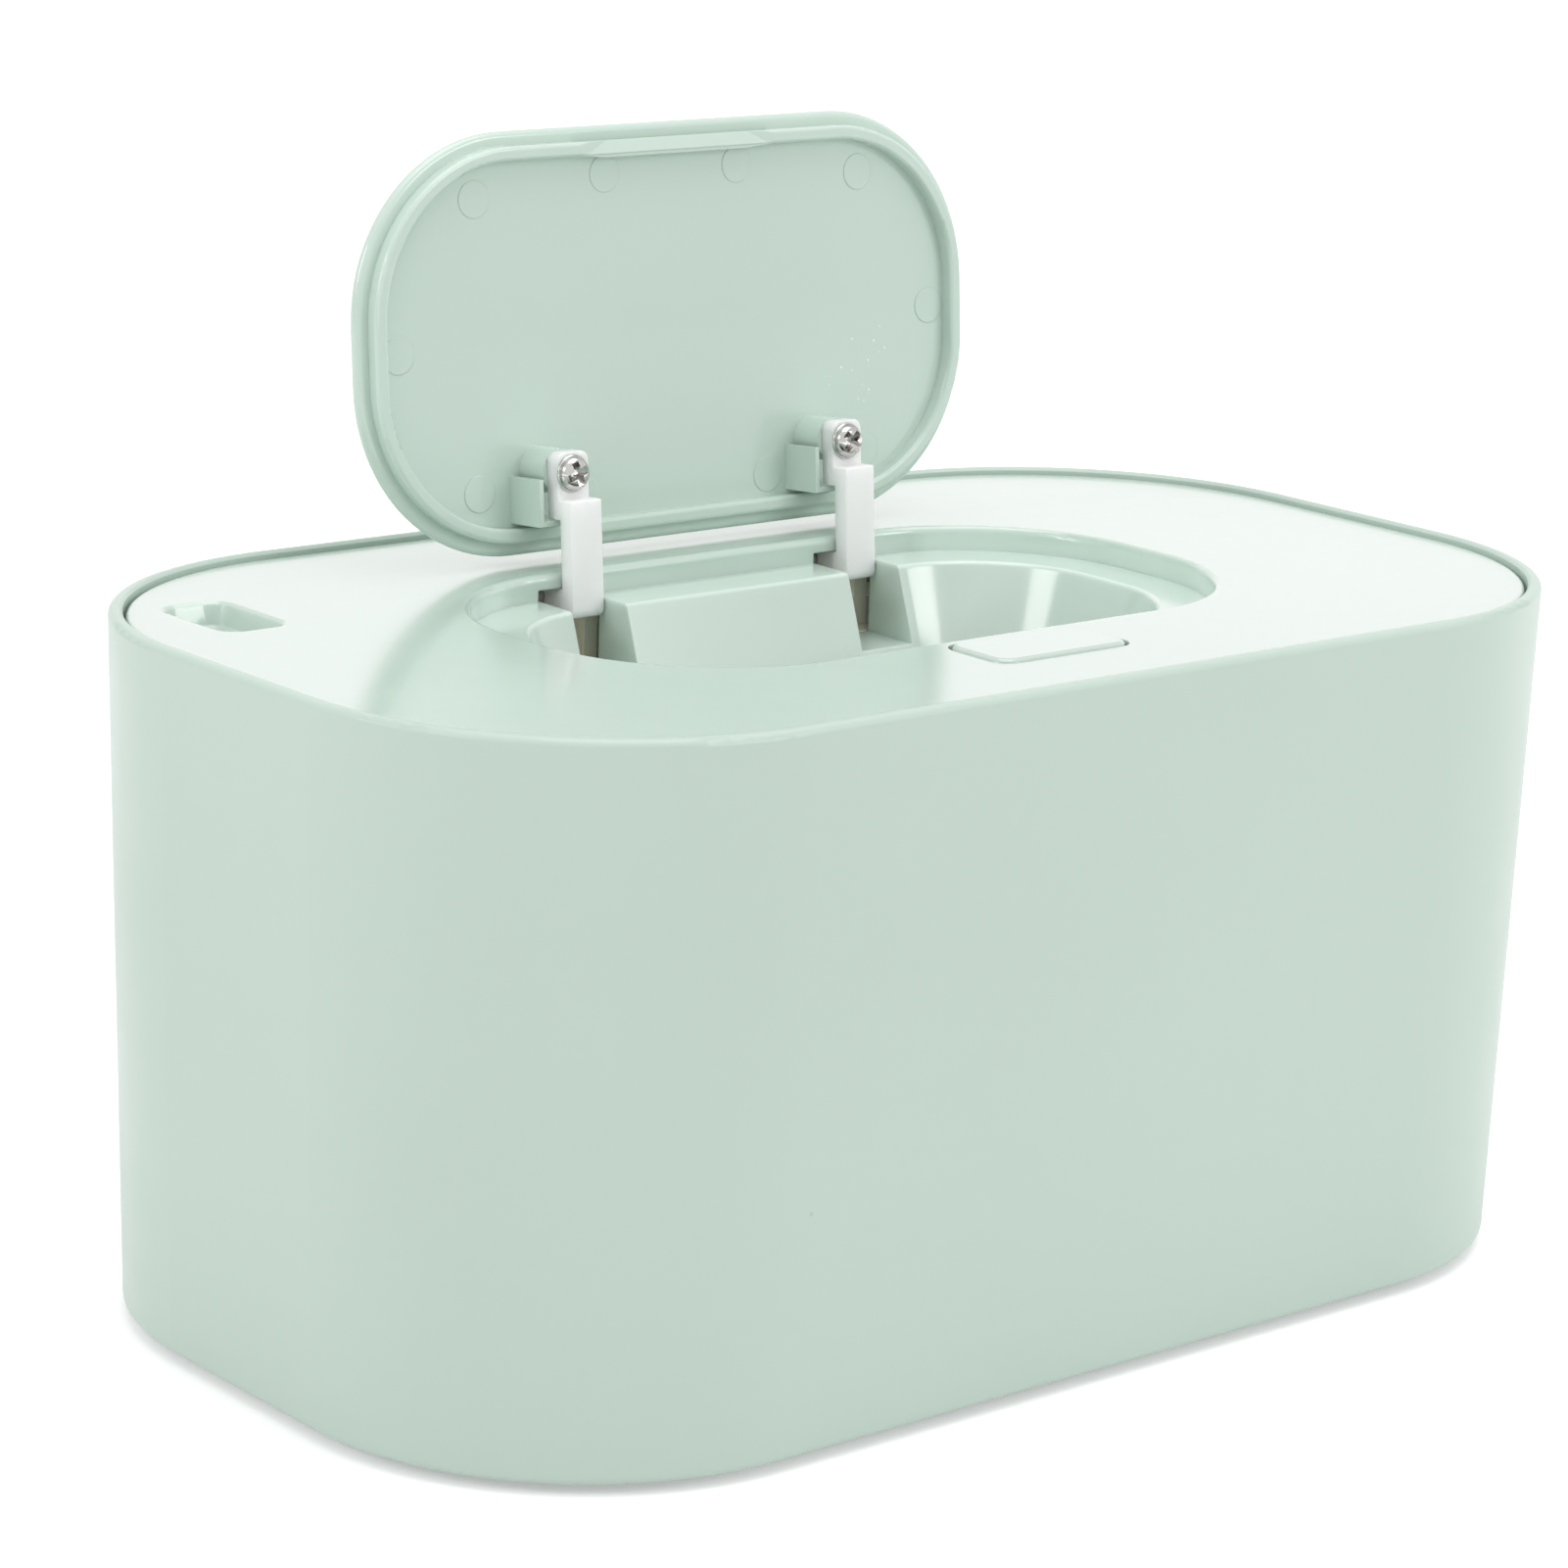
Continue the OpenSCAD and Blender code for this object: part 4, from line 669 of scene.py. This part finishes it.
for k in range(coil_steps + 1):
    a = coil_start + coil_sweep * k / coil_steps
    hinge_coil.append((spring_low.x + coil_wire + coil_pitch * coil_turns * k / coil_steps,
                       pivot.y + coil_r * math.cos(a), pivot.z + coil_r * math.sin(a)))
leg_x, leg_y, leg_z = hinge_coil[-1]
hinge_coil += [(leg_x, leg_y + (spring_high.y - leg_y) * share, leg_z) for share in (0.25, 0.5, 0.75, 0.97)]
hinge_coil_piece = tube("torsion_spring", [hinge_coil], coil_wire, 12)
hinge_coil_piece.data.materials.append(bright_wire)
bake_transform(hinge_coil_piece)
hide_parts("hinge_spring")


# Latch tray and slider
# A grey tray screwed under the cover guides a white acetal slider, whose two prongs hold the lid's catch.
finish_node("latch_tray", moulded("tray_grey", (0.075, 0.078, 0.082), 0.4))
small_screws("tray_screw_set", "tray_screws", 1, "cover")
finish_node("latch_slider", moulded("acetal_white", (0.8, 0.8, 0.77), 0.35, glow=0.3, glow_depth=2 * mm))


# Button spring
# A short coil spring of bright wire that stands in the tray and lifts the button.
button_wire, button_coil_r, button_turns = 0.35 * mm, 2.7 * mm, 5
coil_low, coil_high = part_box("button_spring")
coil_middle = (coil_low + coil_high) / 2
end_gap, flat_share = 1.3 * button_wire, 0.06
button_steps = button_turns * turn_steps
button_coil = []
for k in range(button_steps + 1):
    a = math.tau * k / turn_steps
    rise = min(max((k / turn_steps - 0.5) / (button_turns - 1), 0), 1)
    height = (coil_high.z - coil_low.z - 2 * end_gap) * (flat_share * k / button_steps + (1 - flat_share) * rise)
    button_coil.append((coil_middle.x + button_coil_r * math.cos(a), coil_middle.y + button_coil_r * math.sin(a),
                        coil_low.z + end_gap + height))
button_coil_piece = tube("button_coil", [button_coil], button_wire, 12)
button_coil_piece.data.materials.append(bright_wire)
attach(button_coil_piece, "cover")
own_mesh(button_coil_piece)
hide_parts("button_spring")


# Button
# The push button in front of the lid, a hollow ABS cap in the cover's colour, polished on top.
finish_node("release_button", moulded("button_mint", mint, 0.2, coat=1.0, coat_gloss=0.17, peel=180.0,
                                      peel_depth=0.012 * mm))


# Lid
# The flip lid, moulded in the same ABS, with a rib ring, the catch, two screw bosses and two locating ribs.
# Its inner side is satin, with the ejector pins' round marks and a little dust near the right arm.
lid_mint = [c * 1.07 for c in mint]
lid_finish = moulded("lid_mint", lid_mint, 0.2, coat=0.4, glow=0.12, glow_depth=1.5 * mm, dust=0.02)
finish_node("flip_lid", lid_finish)
nodes, links = lid_finish.node_tree.nodes, lid_finish.node_tree.links
shader, coords = nodes["Principled BSDF"], nodes.new("ShaderNodeTexCoord").outputs["Object"]
from_lint = nodes.new("ShaderNodeVectorMath")
from_lint.operation = "DISTANCE"
from_lint.inputs[1].default_value = (35.5 * mm, 41.3 * mm, 125 * mm)
links.new(coords, from_lint.inputs[0])
lint_core, lint_end, lint_tone = 4 * mm, 8 * mm, (0.88, 0.92, 0.9)
lint = combined(nodes, links, "MULTIPLY", scattered_dots(nodes, links, coords, 900.0, size=0.2, share=0.4),
                spread(nodes, links, from_lint.outputs["Value"], 1.0, 0.0, lint_core, lint_end))
links.new(two_tones(nodes, links, lint, shader.inputs["Base Color"].links[0].from_socket, lint_tone),
          shader.inputs["Base Color"])


# Hinge arms
# Two translucent white nylon arms of the same hand. Each is screwed to a boss of the lid, runs back
# under the lid's edge, turns up and ends in an eye that is pressed on the hinge pin.
def opened(point):
    """Where a point of the shut lid stands with the lid open."""
    return Matrix.Rotation(-open_angle, 3, "X") @ (Vector(point) - pivot) + pivot


arm_low, arm_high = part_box("hinge_arm_right")
arm_w = arm_high.x - arm_low.x
bar_w, plate_r = arm_w + 0.4 * mm, 1.4 * mm
bar_low, bar_high, arm_top = 88.0 * mm, 90.9 * mm, 93.5 * mm
screw_y, plate_end = 17.9 * mm, 24.5 * mm
plate_front = screw_y - 3.1 * mm
leg_front, leg_back = pivot.y - 1.5 * mm, pivot.y + 2.7 * mm
hub_r, elbow_r, pin_hole_r, screw_hole_r, edge_r = 2.75 * mm, 1.2 * mm, 1.27 * mm, 1.3 * mm, 0.5 * mm
bar_end, hole_sides = plate_end - 2.9 * mm, 48
nylon = moulded("nylon_white", (0.97, 0.972, 0.95), 0.33, peel=500.0, peel_depth=0.03 * mm, glow=0.8,
                glow_depth=3 * mm, specks=0.03)
back_angle = math.degrees(math.asin((leg_back - pivot.y) / hub_r)) - 90
front_angle = 270 - math.degrees(math.asin((pivot.y - leg_front) / hub_r))
bar_side = [(plate_end, bar_high + 1 * mm), (bar_end, bar_high + 1 * mm), (bar_end, bar_high), (bar_end, bar_low)]
bar_side += arc(leg_back - elbow_r, bar_low + elbow_r, elbow_r, -90, 0, 12)
bar_side += arc(pivot.y, pivot.z, hub_r, back_angle, front_angle, 40)
bar_side += [(leg_front, bar_high - 0.2 * mm), (plate_end, bar_high - 0.2 * mm)]
for name, side in (("hinge_arm_left", -1), ("hinge_arm_right", 1)):
    middle = side * (arm_low.x + arm_high.x) / 2
    sides = (middle - arm_w / 2, middle - arm_w / 2 + bar_w)
    arm = solid_mesh(name.replace("hinge_arm", "nylon_arm"), [[(x, y, z) for y, z in bar_side] for x in sides])
    plan = [(sides[1], plate_end)] + arc(sides[1] - plate_r, plate_front + plate_r, plate_r, 0, -90, 8)
    plan += arc(sides[0] + plate_r, plate_front + plate_r, plate_r, -90, -180, 8) + [(sides[0], plate_end)]
    fitted(arm, solid_mesh("plate", [[(x, y, z) for x, y in plan] for z in (bar_high, arm_top)]), "UNION")
    pin_hole = [[(x, pivot.y + pin_hole_r * math.cos(a), pivot.z + pin_hole_r * math.sin(a))
                 for a in (math.tau * k / hole_sides for k in range(hole_sides))]
                for x in (middle - arm_w, middle + arm_w)]
    fitted(arm, solid_mesh("hole", pin_hole), "DIFFERENCE")
    screw_ring = arc(middle, screw_y, screw_hole_r, 0, 360 - 360 / hole_sides, hole_sides - 1)
    screw_hole = [[(x, y, z) for x, y in screw_ring] for z in (bar_high - 2 * mm, arm_top + 2 * mm)]
    fitted(arm, solid_mesh("hole", screw_hole), "DIFFERENCE")
    rounding = arm.modifiers.new("rounding", "BEVEL")
    rounding.width, rounding.segments = edge_r, 4
    rounding.limit_method, rounding.angle_limit = "ANGLE", math.radians(35)
    settled(arm)
    arm.data.transform(Matrix.Translation(pivot) @ Matrix.Rotation(-open_angle, 4, "X") @ Matrix.Translation(-pivot))
    smooth_edges(arm, 32)
    arm.data.materials.append(nylon)
    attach(arm, "lid")
    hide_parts(name)


# Arm screws
# Two chrome-plated pan-head screws with washer faces that hold the arms on the lid's bosses.
# The chrome carries painted shade, dark brown from ambient occlusion, in the heads' cross recesses and corners.
chrome = plated("chrome", (0.62, 0.605, 0.59), 0.1, grain=900.0, soft_edge=0.12 * mm, painted_shade_reach=0.6 * mm)
chrome_head_r, chrome_head_h, chrome_shank_r, chrome_shank = 2.75 * mm, 1.7 * mm, 1.2 * mm, 7.7 * mm
arm_screw_places = [opened((s * (arm_low.x + arm_high.x) / 2, screw_y, bar_high)) for s in (-1, 1)]
into_lid = Matrix.Rotation(-open_angle, 3, "X") @ Vector((0, 0, 1))
arm_screw_set = pan_screws("arm_screw_set", arm_screw_places, into_lid, chrome_head_r, chrome_head_h, chrome_shank_r,
                           chrome_shank, pan=0.9, dome=0.75, cross=0.74, turns=(20, 45))
arm_screw_set.data.materials.append(chrome)
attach(arm_screw_set, "lid")
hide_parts("arm_screws")


# Studio
# A round white table and a white surround, with soft lamps above, on both sides and behind.
# The table and the surround look white to the camera and in reflections, and cast a plain soft light.
def seen_directly(nodes, links):
    """1 for what the camera sees, straight, mirrored or through glass, and 0 for light on the product."""
    ray = nodes.new("ShaderNodeLightPath")
    return combined(nodes, links, "MAXIMUM", ray.outputs["Is Camera Ray"],
                    combined(nodes, links, "MAXIMUM", ray.outputs["Is Glossy Ray"],
                             ray.outputs["Is Transmission Ray"]))


table_top = bmesh.new()
bmesh.ops.create_circle(table_top, cap_ends=True, segments=96, radius=4.0)
table_mesh = bpy.data.meshes.new("studio_floor")
table_top.to_mesh(table_mesh)
table_top.free()
studio_floor = bpy.data.objects.new("studio_floor", table_mesh)
bpy.context.scene.collection.objects.link(studio_floor)

floor_white, nodes, links = new_finish("floor_white")
shader = nodes["Principled BSDF"]
shader.inputs["Base Color"].default_value = (0.86, 0.86, 0.86, 1)
shader.inputs["Roughness"].default_value = 0.9
from_middle = nodes.new("ShaderNodeVectorMath")
from_middle.operation = "LENGTH"
links.new(nodes.new("ShaderNodeTexCoord").outputs["Object"], from_middle.inputs[0])
near_white, far_white, near_r, far_r = 0.34, 1.0, 0.25, 1.2
whitening = spread(nodes, links, from_middle.outputs["Value"], near_white, far_white, near_r, far_r)
links.new(combined(nodes, links, "MULTIPLY", seen_directly(nodes, links), whitening),
          shader.inputs["Emission Strength"])
shader.inputs["Emission Color"].default_value = (1, 1, 1, 1)
table_mesh.materials.append(floor_white)

surround = bpy.data.worlds.new("surround")
bpy.context.scene.world = surround
surround.use_nodes = True
nodes, links = surround.node_tree.nodes, surround.node_tree.links
nodes["Background"].inputs["Color"].default_value = (1, 1, 1, 1)
surround_light = 0.71
links.new(spread(nodes, links, seen_directly(nodes, links), surround_light, 1.0, 0.0, 1.0),
          nodes["Background"].inputs["Strength"])

for name, place, aim, size, power, tint in (
        ("top_lamp", (0.1, -0.1, 1.3), (0, 0, 0), (1.0, 1.0), 6.1, (1, 1, 1)),
        ("right_lamp", (0.675, -1.3, 0.7), (0, 0, 0.05), (0.56, 0.5), 4.3, (1, 1, 1)),
        ("left_lamp", (-1.38, 0.15, 0.8), (0, 0, 0.05), (0.7, 0.5), 5.0, (1, 1, 1)),
        ("rear_lamp", (0.96, 1.15, 0.5), (0, 0, 0.1), (2.4, 0.9), 0.8, (1.0, 0.8, 0.88))):
    lamp = bpy.data.objects.new(name, bpy.data.lights.new(name, "AREA"))
    lamp.data.shape = "RECTANGLE"
    lamp.data.size, lamp.data.size_y = size
    lamp.data.energy = power
    lamp.data.color = tint
    bpy.context.scene.collection.objects.link(lamp)
    lamp.location = place
    lamp.rotation_euler = (Vector(aim) - Vector(place)).to_track_quat("-Z", "Y").to_euler()

bpy.context.scene.view_settings.view_transform = "Standard"
